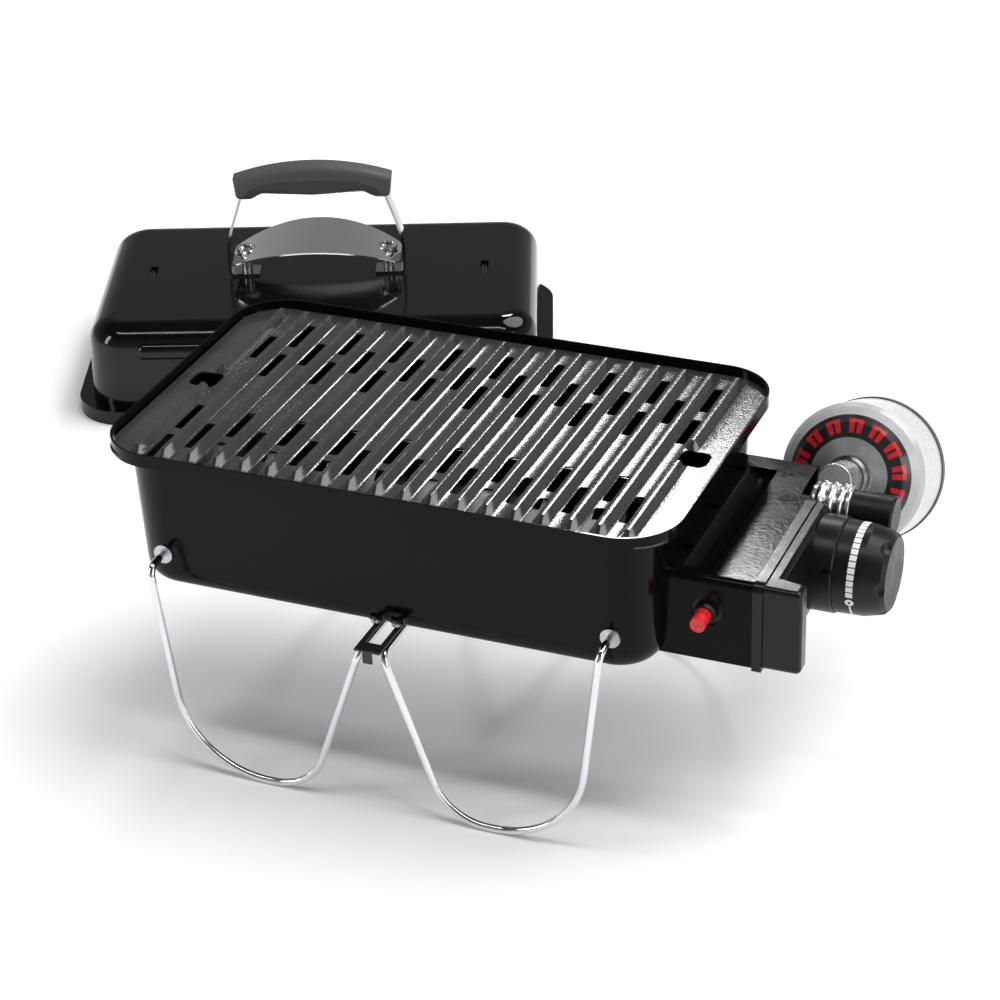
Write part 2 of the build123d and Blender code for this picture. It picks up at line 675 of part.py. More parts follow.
knob_start_x = collar_end_x + knob_gap
knob_long = knob_end_x - knob_start_x
with BuildPart() as control_knob:
    turn([(0, 0), (knob_base_radius, 0), (knob_base_radius - 0.6, knob_long * 0.55),
          (knob_end_radius, knob_long - 3), (knob_end_radius - 3, knob_long), (0, knob_long)],
         (knob_start_x, knob_y, knob_z), (1, 0, 0), outward=(0, 0, 1))
    turn([(0, -1), (knob_base_radius - knob_wall, -1), (knob_end_radius - knob_wall - 1, knob_long - 8),
          (0, knob_long - 8)],
         (knob_start_x, knob_y, knob_z), (1, 0, 0), outward=(0, 0, 1), mode=Mode.SUBTRACT)
    # thumb scallops round the outer edge
    for n in range(knob_scallops):
        turn_angle = radians(first_scallop + n * 360 / knob_scallops)
        reach = knob_end_radius + scallop_radius - 4.0
        with Locations((knob_end_x + 1, knob_y + reach * cos(turn_angle), knob_z + reach * sin(turn_angle))):
            Sphere(scallop_radius, mode=Mode.SUBTRACT)
    # boss that grips the valve stem
    peg(knob_boss, (valve_right_x + 12, knob_y, knob_z), (knob_end_x - 6, knob_y, knob_z))
    peg(stem_radius, (valve_right_x + 8, knob_y, knob_z), (knob_end_x - 10, knob_y, knob_z), mode=Mode.SUBTRACT)
control_knob.part.label = "control_knob"
export_step(control_knob.part, "parts/control_knob.step")

with BuildPart() as valve_stem:
    peg(stem_radius, (valve_right_x - 24, knob_y, knob_z), (knob_end_x - 10, knob_y, knob_z))
valve_stem.part.label = "valve_stem"
export_step(valve_stem.part, "parts/valve_stem.step")

# ================= regulator and valve casting =================
along_can = (0, cos(radians(can_tilt)), -sin(radians(can_tilt)))
can_base = Vector(can_x, can_y, can_z)
can_way = Vector(*along_can)
seat = can_dome + cup_height + seat_gap


def on_can_axis(distance):
    return tuple(can_base + can_way * distance)


with BuildPart() as regulator_body:
    # drum of the casting, stepped by three raised ribs
    regulator_long = regulator_right_x - regulator_left_x
    drum = [(0, 0), (regulator_radius - 2.5, 0)]
    for rib_start in (5.0, 12.5, 20.0):
        drum += [(regulator_radius - 1.6, rib_start), (regulator_radius, rib_start + 1.2),
                 (regulator_radius, rib_start + 3.4), (regulator_radius - 1.6, rib_start + 4.6)]
    turn(drum + [(regulator_radius, regulator_long - 3), (regulator_radius, regulator_long), (0, regulator_long)],
         (regulator_left_x, regulator_y, regulator_z), (1, 0, 0), outward=(0, 0, 1))
    peg(inlet_radius, on_can_axis(-seat), on_can_axis(-seat - 34))
    with BuildSketch(Plane.YZ.offset(can_x - 9)):
        with BuildLine():
            Polyline((regulator_y - 12, regulator_z + 10), (can_y - 34, can_z + 21), (can_y - 24, can_z + 5),
                     (regulator_y + 8, regulator_z - 12), close=True)
        make_face()
    extrude(amount=18)
    # valve body in the box, joined to the regulator by a short neck
    peg(valve_radius, (valve_left_x, knob_y, knob_z), (valve_right_x, knob_y, knob_z))
    peg(neck_radius, (neck_x, knob_y, knob_z), (neck_x, regulator_y, neck_end_z))
    peg(6.5, (valve_left_x + 8, knob_y, knob_z), (valve_left_x + 8, 0, knob_z))
    with Locations((valve_left_x + 8, 0, knob_z)):
        Box(14, 13, 13)
    # bores: stem, gas inlet thread, jet seat
    peg(stem_radius + stem_gap, (valve_right_x - 26, knob_y, knob_z), (valve_right_x + 1, knob_y, knob_z),
        mode=Mode.SUBTRACT)
    peg(thread_radius + 0.3, on_can_axis(-seat + 1), on_can_axis(-seat - 13), mode=Mode.SUBTRACT)
    peg(jet_radius - 1.0, (valve_left_x - 2, 0, knob_z), (valve_left_x + 8, 0, knob_z), mode=Mode.SUBTRACT)
regulator_body.part.label = "regulator_body"
export_step(regulator_body.part, "parts/regulator_body.step")

with BuildPart() as regulator_bonnet:
    bonnet_long = bonnet_end_x - regulator_right_x
    turn([(0, bonnet_long - 3), (bonnet_bore, bonnet_long - 3), (bonnet_bore, 0), (bonnet_radius, 0),
          (bonnet_radius, bonnet_long - 1.5), (bonnet_radius - 1.5, bonnet_long), (0, bonnet_long)],
         (regulator_right_x, regulator_y, regulator_z), (1, 0, 0), outward=(0, 0, 1))
regulator_bonnet.part.label = "regulator_bonnet"
export_step(regulator_bonnet.part, "parts/regulator_bonnet.step")

with BuildPart() as gas_jet:
    jet_x = valve_left_x + 1
    turn([(0.4, -jet_reach), (2.5, -jet_reach), (jet_radius, -2), (jet_radius, 0), (jet_radius - 1.0, 0),
          (jet_radius - 1.0, 6), (0.4, 6)],
         (jet_x, 0, knob_z), (1, 0, 0), outward=(0, 0, 1))
gas_jet.part.label = "gas_jet"
export_step(gas_jet.part, "parts/gas_jet.step")

# ================= gas cartridge =================
with BuildPart() as cartridge_can:
    outer = [(0, -can_dome), (cup_radius + 2, -can_dome), (can_radius - 14, -can_dome * 0.62),
             (can_radius - 3, 0), (can_radius, 4), (can_radius, can_length - 2), (can_radius - 2, can_length),
             (0, can_length)]
    inner = [(0, -can_dome + can_wall), (cup_radius + 2, -can_dome + can_wall),
             (can_radius - 14, -can_dome * 0.62 + can_wall), (can_radius - 3 - can_wall, can_wall),
             (can_radius - can_wall, 4), (can_radius - can_wall, can_length - 2),
             (can_radius - 2 - can_wall, can_length - can_wall), (0, can_length - can_wall)]
    turn(outer, tuple(can_base), along_can)
    turn(inner, tuple(can_base), along_can, mode=Mode.SUBTRACT)
    peg(can_neck_radius, on_can_axis(-can_dome - 1), on_can_axis(-can_dome + 3), mode=Mode.SUBTRACT)
cartridge_can.part.label = "cartridge_can"
export_step(cartridge_can.part, "parts/cartridge_can.step")

with BuildPart() as cartridge_valve:
    turn([(0, -can_dome - cup_height - 9), (thread_radius, -can_dome - cup_height - 9),
          (thread_radius, -can_dome - cup_height), (cup_radius - 2, -can_dome - cup_height),
          (cup_radius, -can_dome - cup_height + 2), (cup_radius, -can_dome), (can_neck_radius, -can_dome),
          (can_neck_radius, -can_dome + 6), (0, -can_dome + 6)],
         tuple(can_base), along_can)
    turn([(0, -can_dome - cup_height - 10), (2.2, -can_dome - cup_height - 10),
          (2.2, -can_dome - cup_height), (0, -can_dome - cup_height)],
         tuple(can_base), along_can, mode=Mode.SUBTRACT)
cartridge_valve.part.label = "cartridge_valve"
export_step(cartridge_valve.part, "parts/cartridge_valve.step")

with BuildPart() as cartridge_rim:
    turn([(can_radius, can_length - 6), (can_radius + 0.8, can_length - 6), (can_radius + 0.8, can_length + 1.5),
          (can_radius - 6, can_length + 1.5), (can_radius - 6, can_length), (can_radius - 2, can_length),
          (can_radius, can_length - 2)],
         tuple(can_base), along_can)
cartridge_rim.part.label = "cartridge_rim"
export_step(cartridge_rim.part, "parts/cartridge_rim.step")

# ================= igniter, lead and electrode =================
front_wall = -box_front + box_sheet
button_tip_y = -box_front - button_reach
barrel_front = -box_front - 5.0
with BuildPart() as igniter_body:
    base = (igniter_x, front_wall, igniter_z)
    turn([(0, 5), (button_radius + button_gap, 5), (button_radius + button_gap, barrel_front - front_wall),
          (barrel_radius - 1.2, barrel_front - front_wall), (barrel_radius, barrel_front - front_wall + 2),
          (barrel_radius, 0), (igniter_flange, 0), (igniter_flange, 2), (igniter_body_radius, 2),
          (igniter_body_radius, igniter_length), (0, igniter_length)],
         base, (0, 1, 0))
    turn([(0, 4), (3.9, 4), (3.9, 20), (0, 20)], base, (0, 1, 0), mode=Mode.SUBTRACT)
igniter_body.part.label = "igniter_body"
export_step(igniter_body.part, "parts/igniter_body.step")

button_room = front_wall + 5 - button_travel - 0.6
with BuildPart() as igniter_button:
    turn([(0, 0), (button_radius - 0.8, 0), (button_radius, 0.8), (button_radius, button_room - button_tip_y),
          (0, button_room - button_tip_y)],
         (igniter_x, button_tip_y, igniter_z), (0, 1, 0))
    peg(1.6, (igniter_x, button_room - 1, igniter_z), (igniter_x, button_room + 8, igniter_z))
igniter_button.part.label = "igniter_button"
export_step(igniter_button.part, "parts/igniter_button.step")

spring_start = button_room + 0.3
spring_end = front_wall + 19.7
with BuildPart() as igniter_spring:
    with BuildLine() as coil:
        Helix(pitch=(spring_end - spring_start - 0.8) / 7, height=spring_end - spring_start - 0.8,
              radius=spring_radius - spring_wire / 2, center=(igniter_x, spring_start + 0.4, igniter_z),
              direction=(0, 1, 0))
    with BuildSketch(Plane(origin=coil.wire() @ 0, z_dir=coil.wire() % 0)):
        Circle(spring_wire / 2)
    sweep(path=coil.wire())
igniter_spring.part.label = "igniter_spring"
export_step(igniter_spring.part, "parts/igniter_spring.step")

electrode_tip_x = burner_wall_x - 34
with BuildPart() as electrode_ceramic:
    turn([(electrode_wire, 0), (ceramic_radius, 0), (ceramic_radius, 46), (electrode_wire, 46)],
         (burner_wall_x - 24, electrode_y, electrode_z), (1, 0, 0), outward=(0, 0, 1))
electrode_ceramic.part.label = "electrode_ceramic"
export_step(electrode_ceramic.part, "parts/electrode_ceramic.step")

with BuildPart() as electrode_wire_part:
    with BuildLine() as spark_route:
        FilletPolyline((burner_wall_x + 24, electrode_y, electrode_z),
                       (electrode_tip_x, electrode_y, electrode_z),
                       (electrode_tip_x, 13.5, burner_z + 8), radius=3)
    with BuildSketch(Plane(origin=spark_route.wire() @ 0, z_dir=spark_route.wire() % 0)):
        Circle(electrode_wire)
    sweep(path=spark_route.wire())
electrode_wire_part.part.label = "spark_electrode"
export_step(electrode_wire_part.part, "parts/spark_electrode.step")

lead_start = (burner_wall_x + 24, electrode_y, electrode_z)
lead_end = (igniter_x, front_wall + igniter_length, igniter_z)
with BuildPart() as ignition_lead:
    with BuildLine() as lead_route:
        FilletPolyline(lead_start, (burner_wall_x + 42, electrode_y, electrode_z),
                       (burner_wall_x + 42, -24, electrode_z + 6), (igniter_x, -24, igniter_z), lead_end,
                       radius=[7, 5, 5])
    with BuildSketch(Plane(origin=lead_route.wire() @ 0, z_dir=lead_route.wire() % 0)):
        Circle(lead_radius)
    sweep(path=lead_route.wire())
ignition_lead.part.label = "ignition_lead"
export_step(ignition_lead.part, "parts/ignition_lead.step")

with BuildPart() as box_screws:
    for screw_y in box_screw_rows:
        turn([(0, -12), (box_screw, -12), (box_screw, 0), (box_screw * 2, 0), (box_screw * 2, 1.2),
              (box_screw * 1.3, 2.4), (0, 2.4)],
             (box_inner_left, screw_y, box_screw_z), (1, 0, 0), outward=(0, 0, 1))
box_screws.part.label = "box_screws"
export_step(box_screws.part, "parts/box_screws.step")

# ================= lid =================
lid_length = rim_length + 2 * (lid_rim_gap + lid_sheet)
lid_width = rim_width + 2 * (lid_rim_gap + lid_sheet)
lid_wall_length = lid_length - 2 * lid_inset
lid_wall_width = lid_width - 2 * lid_inset
louvre_length = lid_wall_length - 2 * louvre_end
lid_spot = Location((lid_x, lid_y, 0), (0, 0, lid_turn))


def lid_block(skin):
    # lid outside (skin 0) or its hollow (skin = sheet thickness)
    with BuildSketch(Plane.XY.offset(lid_skirt - skin)) as footprint:
        RectangleRounded(lid_wall_length - 2 * skin, lid_wall_width - 2 * skin, lid_corner - skin)
    extrude(footprint.sketch, amount=lid_height - lid_skirt, taper=lid_taper)


with BuildPart() as lid_hollow:
    lid_block(lid_sheet)
    fillet(lid_hollow.faces().sort_by(Axis.Z)[-1].edges(), radius=lid_top_radius - lid_sheet)
    with BuildSketch(Plane.XY):
        RectangleRounded(lid_length - 2 * lid_sheet, lid_width - 2 * lid_sheet, rim_corner + lid_rim_gap)
    extrude(amount=lid_skirt - lid_sheet)

with BuildPart() as lid_model:
    lid_block(0)
    fillet(lid_model.faces().sort_by(Axis.Z)[-1].edges(), radius=lid_top_radius)
    with BuildSketch(Plane.XY):
        RectangleRounded(lid_length, lid_width, rim_corner + lid_rim_gap + lid_sheet)
    extrude(amount=lid_skirt)
    # long pressed louvre on each long side
    louvre_y = lid_wall_width / 2 - (louvre_z - lid_skirt) * tan(radians(lid_taper)) - louvre_radius + louvre_rise
    for side_y in (-1, 1):
        peg(louvre_radius, (-louvre_length / 2, side_y * louvre_y, louvre_z),
            (louvre_length / 2, side_y * louvre_y, louvre_z))
        with Locations((-louvre_length / 2, side_y * louvre_y, louvre_z),
                       (louvre_length / 2, side_y * louvre_y, louvre_z)):
            Sphere(louvre_radius)
    add(lid_hollow.part, mode=Mode.SUBTRACT)
    for side_y in (-1, 1):
        peg(louvre_radius - lid_sheet, (-louvre_length / 2, side_y * louvre_y, louvre_z),
            (louvre_length / 2, side_y * louvre_y, louvre_z), mode=Mode.SUBTRACT)
        with Locations((-louvre_length / 2, side_y * louvre_y, louvre_z),
                       (louvre_length / 2, side_y * louvre_y, louvre_z)):
            Sphere(louvre_radius - lid_sheet, mode=Mode.SUBTRACT)
    for side_x in (-1, 1):
        peg(bolt_radius + 0.15, (side_x * bolt_x, 0, lid_height - 5), (side_x * bolt_x, 0, lid_height + 5),
            mode=Mode.SUBTRACT)
        with Locations((side_x * dent_x, 0, lid_height + dent_radius * 0.4)):
            Cylinder(dent_radius + lid_sheet, dent_length, rotation=(90, 0, 0))
    for side_x in (-1, 1):
        with Locations((side_x * dent_x, 0, lid_height + dent_radius * 0.4)):
            Cylinder(dent_radius, dent_length - 2 * lid_sheet, rotation=(90, 0, 0), mode=Mode.SUBTRACT)
    block((-dent_x - 20, -dent_length, lid_height), (dent_x + 20, dent_length, lid_height + 20),
          mode=Mode.SUBTRACT)

with BuildPart() as lid_shell:
    with Locations(lid_spot):
        add(lid_model.part)
lid_shell.part.label = "lid_shell"
export_step(lid_shell.part, "parts/lid_shell.step")

strap_points = [(-strap_foot_inner, lid_height), (-strap_shoulder_x - 1, lid_height),
                (-strap_shoulder_x - 2, strap_shoulder_z), (-strap_top_x, strap_top_z),
                (-strap_bar_x, strap_bar_z)]
strap_route = strap_points + [(-x, z) for x, z in reversed(strap_points)]
with BuildPart() as strap_model:
    with BuildSketch(Plane(origin=(0, strap_width / 2, 0), x_dir=(1, 0, 0), z_dir=(0, -1, 0))):
        with BuildLine():
            FilletPolyline(*strap_route, radius=[5, 100, 10, 20, 20, 10, 100, 5])
            offset(amount=strap_sheet, side=Side.RIGHT)
        make_face()
    extrude(amount=strap_width)
    for side_x in (-1, 1):
        peg(bolt_radius + 0.15, (side_x * bolt_x, 0, lid_height - 5), (side_x * bolt_x, 0, lid_height + 6),
            mode=Mode.SUBTRACT)
with BuildPart() as handle_strap:
    with Locations(lid_spot):
        add(strap_model.part)
handle_strap.part.label = "handle_strap"
export_step(handle_strap.part, "parts/handle_strap.step")

grip_end_z = grip_middle_z - grip_drop
grip_end_x = grip_length / 2
grip_face = Plane(origin=(0, grip_width / 2, 0), x_dir=(1, 0, 0), z_dir=(0, -1, 0))
with BuildPart() as whole_grip:
    with BuildSketch(grip_face):
        with BuildLine():
            ThreePointArc((-grip_end_x, grip_end_z), (0, grip_middle_z), (grip_end_x, grip_end_z))
            FilletPolyline((grip_end_x, grip_end_z), (grip_end_x - 2, grip_foot_z), (grip_foot_x, grip_foot_z),
                           (palm_x, palm_z), (0, palm_z - palm_drop), (-palm_x, palm_z),
                           (-grip_foot_x, grip_foot_z), (-grip_end_x + 2, grip_foot_z),
                           (-grip_end_x, grip_end_z), radius=[5, 8, 8, 60, 8, 8, 5])
        make_face()
    extrude(amount=grip_width)
    fillet(whole_grip.faces().filter_by(Axis.Y).edges(), radius=grip_edge)


def insert_region(grow):
    # arched space at the bottom of the grip that the softer insert fills
    low = grip_foot_z - 10
    return [(-insert_x - grow, low), (-insert_x - grow, grip_foot_z), (-insert_x + 8 - grow, insert_z - 9 + grow),
            (-insert_x + 24, insert_z - 2 + grow), (0, insert_z + grow), (insert_x - 24, insert_z - 2 + grow),
            (insert_x - 8 + grow, insert_z - 9 + grow), (insert_x + grow, grip_foot_z), (insert_x + grow, low)]


def insert_prism(grow):
    with BuildPart() as prism:
        with BuildSketch(grip_face):
            with BuildLine():
                FilletPolyline(*insert_region(grow), radius=[2, 6, 14, 40, 14, 6, 2])
                Line(insert_region(grow)[-1], insert_region(grow)[0])
            make_face()
        extrude(amount=grip_width)
    return prism.part


with BuildPart() as grip_model:
    add(whole_grip.part)
    add(insert_prism(insert_gap), mode=Mode.SUBTRACT)
    add(strap_model.part, mode=Mode.SUBTRACT)

with BuildPart() as handle_grip:
    with Locations(lid_spot):
        add(grip_model.part)
handle_grip.part.label = "handle_grip"
export_step(handle_grip.part, "parts/handle_grip.step")

with BuildPart() as insert_model:
    add(whole_grip.part)
    add(insert_prism(0), mode=Mode.INTERSECT)
    for n in range(rib_count):
        rib_x = (n - (rib_count - 1) / 2) * rib_pitch
        rib_z = palm_z - palm_drop * (1 - abs(rib_x) / palm_x) - rib_radius * 0.45
        with Locations((rib_x, 0, rib_z)):
            Cylinder(rib_radius, grip_width + 2, rotation=(90, 0, 0), mode=Mode.SUBTRACT)
    add(strap_model.part, mode=Mode.SUBTRACT)

with BuildPart() as grip_insert:
    with Locations(lid_spot):
        add(insert_model.part)
grip_insert.part.label = "grip_insert"
export_step(grip_insert.part, "parts/grip_insert.step")

shield_rise = shield_crown - shield_edge
shield_bow = ((shield_length / 2) ** 2 + shield_rise ** 2) / (2 * shield_rise)
shield_boss_z = shield_crown - shield_bow + sqrt(shield_bow ** 2 - bolt_x ** 2)
boss_top = shield_boss_z - 1.5
with BuildPart() as shield_model:
    with BuildSketch(Plane(origin=(0, shield_width / 2, 0), x_dir=(1, 0, 0), z_dir=(0, -1, 0))):
        with BuildLine():
            ThreePointArc((-shield_length / 2, shield_edge), (0, shield_crown), (shield_length / 2, shield_edge))
            offset(amount=shield_sheet, side=Side.RIGHT)
        make_face()
    extrude(amount=shield_width)
    # plan shape: broad in the middle, narrower at the ends
    with BuildSketch(Plane.XY.offset(shield_edge - 10)) as shield_plan:
        with BuildLine():
            ThreePointArc((-shield_length / 2, shield_end_width / 2), (0, shield_width / 2),
                          (shield_length / 2, shield_end_width / 2))
            Line((shield_length / 2, shield_end_width / 2), (shield_length / 2, -shield_end_width / 2))
            ThreePointArc((shield_length / 2, -shield_end_width / 2), (0, -shield_width / 2),
                          (-shield_length / 2, -shield_end_width / 2))
            Line((-shield_length / 2, -shield_end_width / 2), (-shield_length / 2, shield_end_width / 2))
        make_face()
        fillet(shield_plan.vertices(), radius=8)
    extrude(shield_plan.sketch, amount=60, mode=Mode.INTERSECT)
    # dished seats for the bolts
    for side_x in (-1, 1):
        peg(shield_dish - 0.3, (side_x * bolt_x, 0, boss_top - 6), (side_x * bolt_x, 0, boss_top + 12),
            mode=Mode.SUBTRACT)
        turn([(bolt_radius + 0.15, -shield_sheet), (bolt_radius + 0.15, 0), (6.6, 0),
              (shield_dish - 1.6, shield_dish_rise), (shield_dish, shield_dish_rise),
              (shield_dish, shield_dish_rise - 1.2), (7.8, -shield_sheet)],
             (side_x * bolt_x, 0, boss_top), (0, 0, 1))

with BuildPart() as heat_shield:
    with Locations(lid_spot):
        add(shield_model.part)
heat_shield.part.label = "heat_shield"
export_step(heat_shield.part, "parts/heat_shield.step")

spacer_floor = lid_height + strap_sheet
with BuildPart() as spacer_model:
    for side_x in (-1, 1):
        turn([(bolt_radius + 0.15, 0), (spacer_radius, 0), (spacer_radius, boss_top - shield_sheet - spacer_floor),
              (bolt_radius + 0.15, boss_top - shield_sheet - spacer_floor)],
             (side_x * bolt_x, 0, spacer_floor), (0, 0, 1))
with BuildPart() as shield_spacers:
    with Locations(lid_spot):
        add(spacer_model.part)
shield_spacers.part.label = "shield_spacers"
export_step(shield_spacers.part, "parts/shield_spacers.step")

bolt_low = lid_height - lid_sheet - 8
with BuildPart() as bolt_model:
    for side_x in (-1, 1):
        turn([(0, bolt_low - boss_top), (bolt_radius, bolt_low - boss_top), (bolt_radius, 0), (bolt_head, 0),
              (bolt_head, 1.0), (bolt_head * 0.7, 2.6), (0, 3.2)], (side_x * bolt_x, 0, boss_top), (0, 0, 1))
with BuildPart() as handle_bolts:
    with Locations(lid_spot):
        add(bolt_model.part)
handle_bolts.part.label = "handle_bolts"
export_step(handle_bolts.part, "parts/handle_bolts.step")

with BuildPart() as nut_model:
    for side_x in (-1, 1):
        with BuildSketch(Plane(origin=(side_x * bolt_x, 0, lid_height - lid_sheet - 4.5))):
            RegularPolygon(radius=5.0, side_count=6)
            Circle(bolt_radius + 0.02, mode=Mode.SUBTRACT)
        extrude(amount=4.5)
with BuildPart() as handle_nuts:
    with Locations(lid_spot):
        add(nut_model.part)
handle_nuts.part.label = "handle_nuts"
export_step(handle_nuts.part, "parts/handle_nuts.step")
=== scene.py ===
import bpy
import bmesh
import math
from mathutils import Matrix, Vector


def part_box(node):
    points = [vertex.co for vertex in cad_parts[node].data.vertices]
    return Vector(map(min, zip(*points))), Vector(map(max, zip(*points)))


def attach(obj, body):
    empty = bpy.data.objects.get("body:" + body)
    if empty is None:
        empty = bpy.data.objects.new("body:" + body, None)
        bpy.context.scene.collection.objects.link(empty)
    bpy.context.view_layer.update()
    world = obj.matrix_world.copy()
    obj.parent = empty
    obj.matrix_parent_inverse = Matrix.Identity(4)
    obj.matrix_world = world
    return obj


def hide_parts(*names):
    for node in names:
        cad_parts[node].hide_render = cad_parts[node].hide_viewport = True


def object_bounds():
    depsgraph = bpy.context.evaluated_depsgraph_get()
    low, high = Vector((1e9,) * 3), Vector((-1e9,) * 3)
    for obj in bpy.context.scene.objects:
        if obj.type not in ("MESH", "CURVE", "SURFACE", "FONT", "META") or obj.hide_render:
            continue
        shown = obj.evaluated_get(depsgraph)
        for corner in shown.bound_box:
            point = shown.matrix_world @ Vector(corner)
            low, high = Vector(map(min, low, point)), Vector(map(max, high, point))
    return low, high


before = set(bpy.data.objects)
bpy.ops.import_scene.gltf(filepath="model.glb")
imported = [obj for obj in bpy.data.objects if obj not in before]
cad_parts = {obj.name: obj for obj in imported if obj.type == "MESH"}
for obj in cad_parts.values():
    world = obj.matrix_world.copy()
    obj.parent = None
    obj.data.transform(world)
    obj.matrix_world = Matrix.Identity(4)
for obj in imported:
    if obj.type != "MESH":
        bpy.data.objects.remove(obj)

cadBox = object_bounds()
print("frame loaded:", len(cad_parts), "parts")


class Signal:
    # one output socket of a shader node, so that sums on it read as sums

    def __init__(self, tree, socket):
        self.tree = tree
        self.socket = socket

    def maths(self, operation, first, second, third=None):
        node = self.tree.nodes.new("ShaderNodeMath")
        node.operation = operation
        for place, value in enumerate((first, second, third)):
            if value is not None:
                fill(self.tree, node.inputs[place], value)
        return Signal(self.tree, node.outputs[0])

    def __add__(self, other):
        return self.maths("ADD", self, other)

    def __radd__(self, other):
        return self.maths("ADD", other, self)

    def __sub__(self, other):
        return self.maths("SUBTRACT", self, other)

    def __rsub__(self, other):
        return self.maths("SUBTRACT", other, self)

    def __mul__(self, other):
        return self.maths("MULTIPLY", self, other)

    def __rmul__(self, other):
        return self.maths("MULTIPLY", other, self)

    def __truediv__(self, other):
        return self.maths("DIVIDE", self, other)

    def above(self, edge):
        return self.maths("GREATER_THAN", self, edge)

    def below(self, edge):
        return self.maths("LESS_THAN", self, edge)

    def size(self):
        return self.maths("ABSOLUTE", self, None)

    def power(self, exponent):
        return self.maths("POWER", self, exponent)

    def repeat(self, step):
        return self.maths("FLOORED_MODULO", self, step)

    def angleFrom(self, other):
        return self.maths("ARCTAN2", self, other)

    def clamped(self):
        node = self.tree.nodes.new("ShaderNodeClamp")
        fill(self.tree, node.inputs[0], self)
        return Signal(self.tree, node.outputs[0])


def fill(tree, socket, value):
    if isinstance(value, Signal):
        tree.links.new(value.socket, socket)
    else:
        socket.default_value = value


class Finish:
    # a material with one Principled shader; fixed values sit on the shader's own sockets

    def __init__(self, name, color, metal=0.0, **fixed):
        self.material = bpy.data.materials.new(name)
        self.material.use_nodes = True
        self.tree = self.material.node_tree
        self.shader = self.tree.nodes["Principled BSDF"]
        self.set("Base Color", (*color, 1.0))
        self.set("Metallic", metal)
        for socket, value in fixed.items():
            self.set(socket.replace("_", " "), value)

    def set(self, socket, value):
        fill(self.tree, self.shader.inputs[socket], value)

    def node(self, kind, settings, inputs, output=0):
        node = self.tree.nodes.new(kind)
        for name, value in settings.items():
            setattr(node, name, value)
        for name, value in inputs.items():
            fill(self.tree, node.inputs[name], value)
        return Signal(self.tree, node.outputs[output])

    def spot(self, turn=(0, 0, 0), stretch=(1, 1, 1), move=(0, 0, 0)):
        here = self.node("ShaderNodeTexCoord", {}, {}, "Object")
        return self.node("ShaderNodeMapping", {"vector_type": "POINT"},
                         {"Vector": here, "Location": move, "Rotation": turn, "Scale": stretch})

    def axes(self, **where):
        split = self.tree.nodes.new("ShaderNodeSeparateXYZ")
        fill(self.tree, split.inputs[0], self.spot(**where))
        return [Signal(self.tree, out) for out in split.outputs]

    def noise(self, place, scale, detail=3.0, rough=0.5):
        return self.node("ShaderNodeTexNoise", {"noise_dimensions": "3D"},
                         {"Vector": place, "Scale": scale, "Detail": detail, "Roughness": rough}, "Fac")

    def cells(self, place, scale):
        return self.node("ShaderNodeTexVoronoi", {"feature": "F1"},
                         {"Vector": place, "Scale": scale}, "Distance")

    def ramp(self, value, low, high, bottom=0.0, top=1.0):
        return self.node("ShaderNodeMapRange", {"interpolation_type": "SMOOTHSTEP"},
                         {"Value": value, "From Min": low, "From Max": high, "To Min": bottom, "To Max": top})

    def blend(self, amount, first, second):
        asColor = [(*c, 1.0) if isinstance(c, tuple) else c for c in (first, second)]
        return self.node("ShaderNodeMix", {"data_type": "RGBA"}, {0: amount, 6: asColor[0], 7: asColor[1]}, 2)

    def bump(self, height, depth, strength=1.0):
        self.set("Normal", self.node("ShaderNodeBump", {},
                                     {"Height": height, "Distance": depth, "Strength": strength}))


glossEnamel = {"color": (0.002, 0.002, 0.0022), "dust": (0.02, 0.02, 0.022), "dustPerMetre": 1900,
               "rough": (0.06, 0.16), "hazePerMetre": 9.0, "peelPerMetre": 260, "peelDepth": 0.00007,
               "shine": 0.12, "lidShine": 0.32}


def makeGlossEnamel(name, shine):
    # porcelain enamel: deep black glass with a faint orange peel and a dusty haze
    f = Finish(name, glossEnamel["color"], Specular_IOR_Level=shine)
    place = f.spot()
    haze = f.noise(place, glossEnamel["hazePerMetre"], 5.0, 0.6)
    dust = f.cells(place, glossEnamel["dustPerMetre"]).below(0.10)
    f.set("Roughness", f.ramp(haze, 0.35, 0.75, *glossEnamel["rough"]))
    f.set("Base Color", f.blend(dust * 0.08, glossEnamel["color"], glossEnamel["dust"]))
    f.bump(f.noise(place, glossEnamel["peelPerMetre"], 2.0, 0.45), glossEnamel["peelDepth"], 0.5)
    return f.material


wrinkleCoat = {"color": (0.0025, 0.0025, 0.0028), "rough": (0.12, 0.22), "shine": 0.09, "lumpsPerMetre": 330,
               "grainPerMetre": 900, "depth": 0.00028, "topLow": 0.196, "topHigh": 0.2075}


def makeWrinkleCoat():
    # the control box: pressed steel under a thick gloss coat, lumpy on its top
    f = Finish("wrinkleCoat", wrinkleCoat["color"], Specular_IOR_Level=wrinkleCoat["shine"])
    place = f.spot(stretch=(1.0, 1.0, 0.4))
    lumps = f.noise(place, wrinkleCoat["lumpsPerMetre"], 2.5, 0.55)
    grain = f.noise(place, wrinkleCoat["grainPerMetre"], 2.0, 0.5)
    onTop = f.ramp(f.axes()[2], wrinkleCoat["topLow"], wrinkleCoat["topHigh"], 0.2, 1.0)
    f.bump((lumps + grain * 0.25) * onTop, wrinkleCoat["depth"], 0.3)
    f.set("Roughness", f.ramp(f.noise(place, 40, 3.0), 0.3, 0.7, *wrinkleCoat["rough"]))
    return f.material


grateEnamel = {"dark": (0.026, 0.026, 0.027), "light": (0.045, 0.045, 0.047), "speck": (0.07, 0.07, 0.074),
               "specksPerMetre": 720, "pebblesPerMetre": 620, "depth": 0.00018, "rough": (0.13, 0.19)}


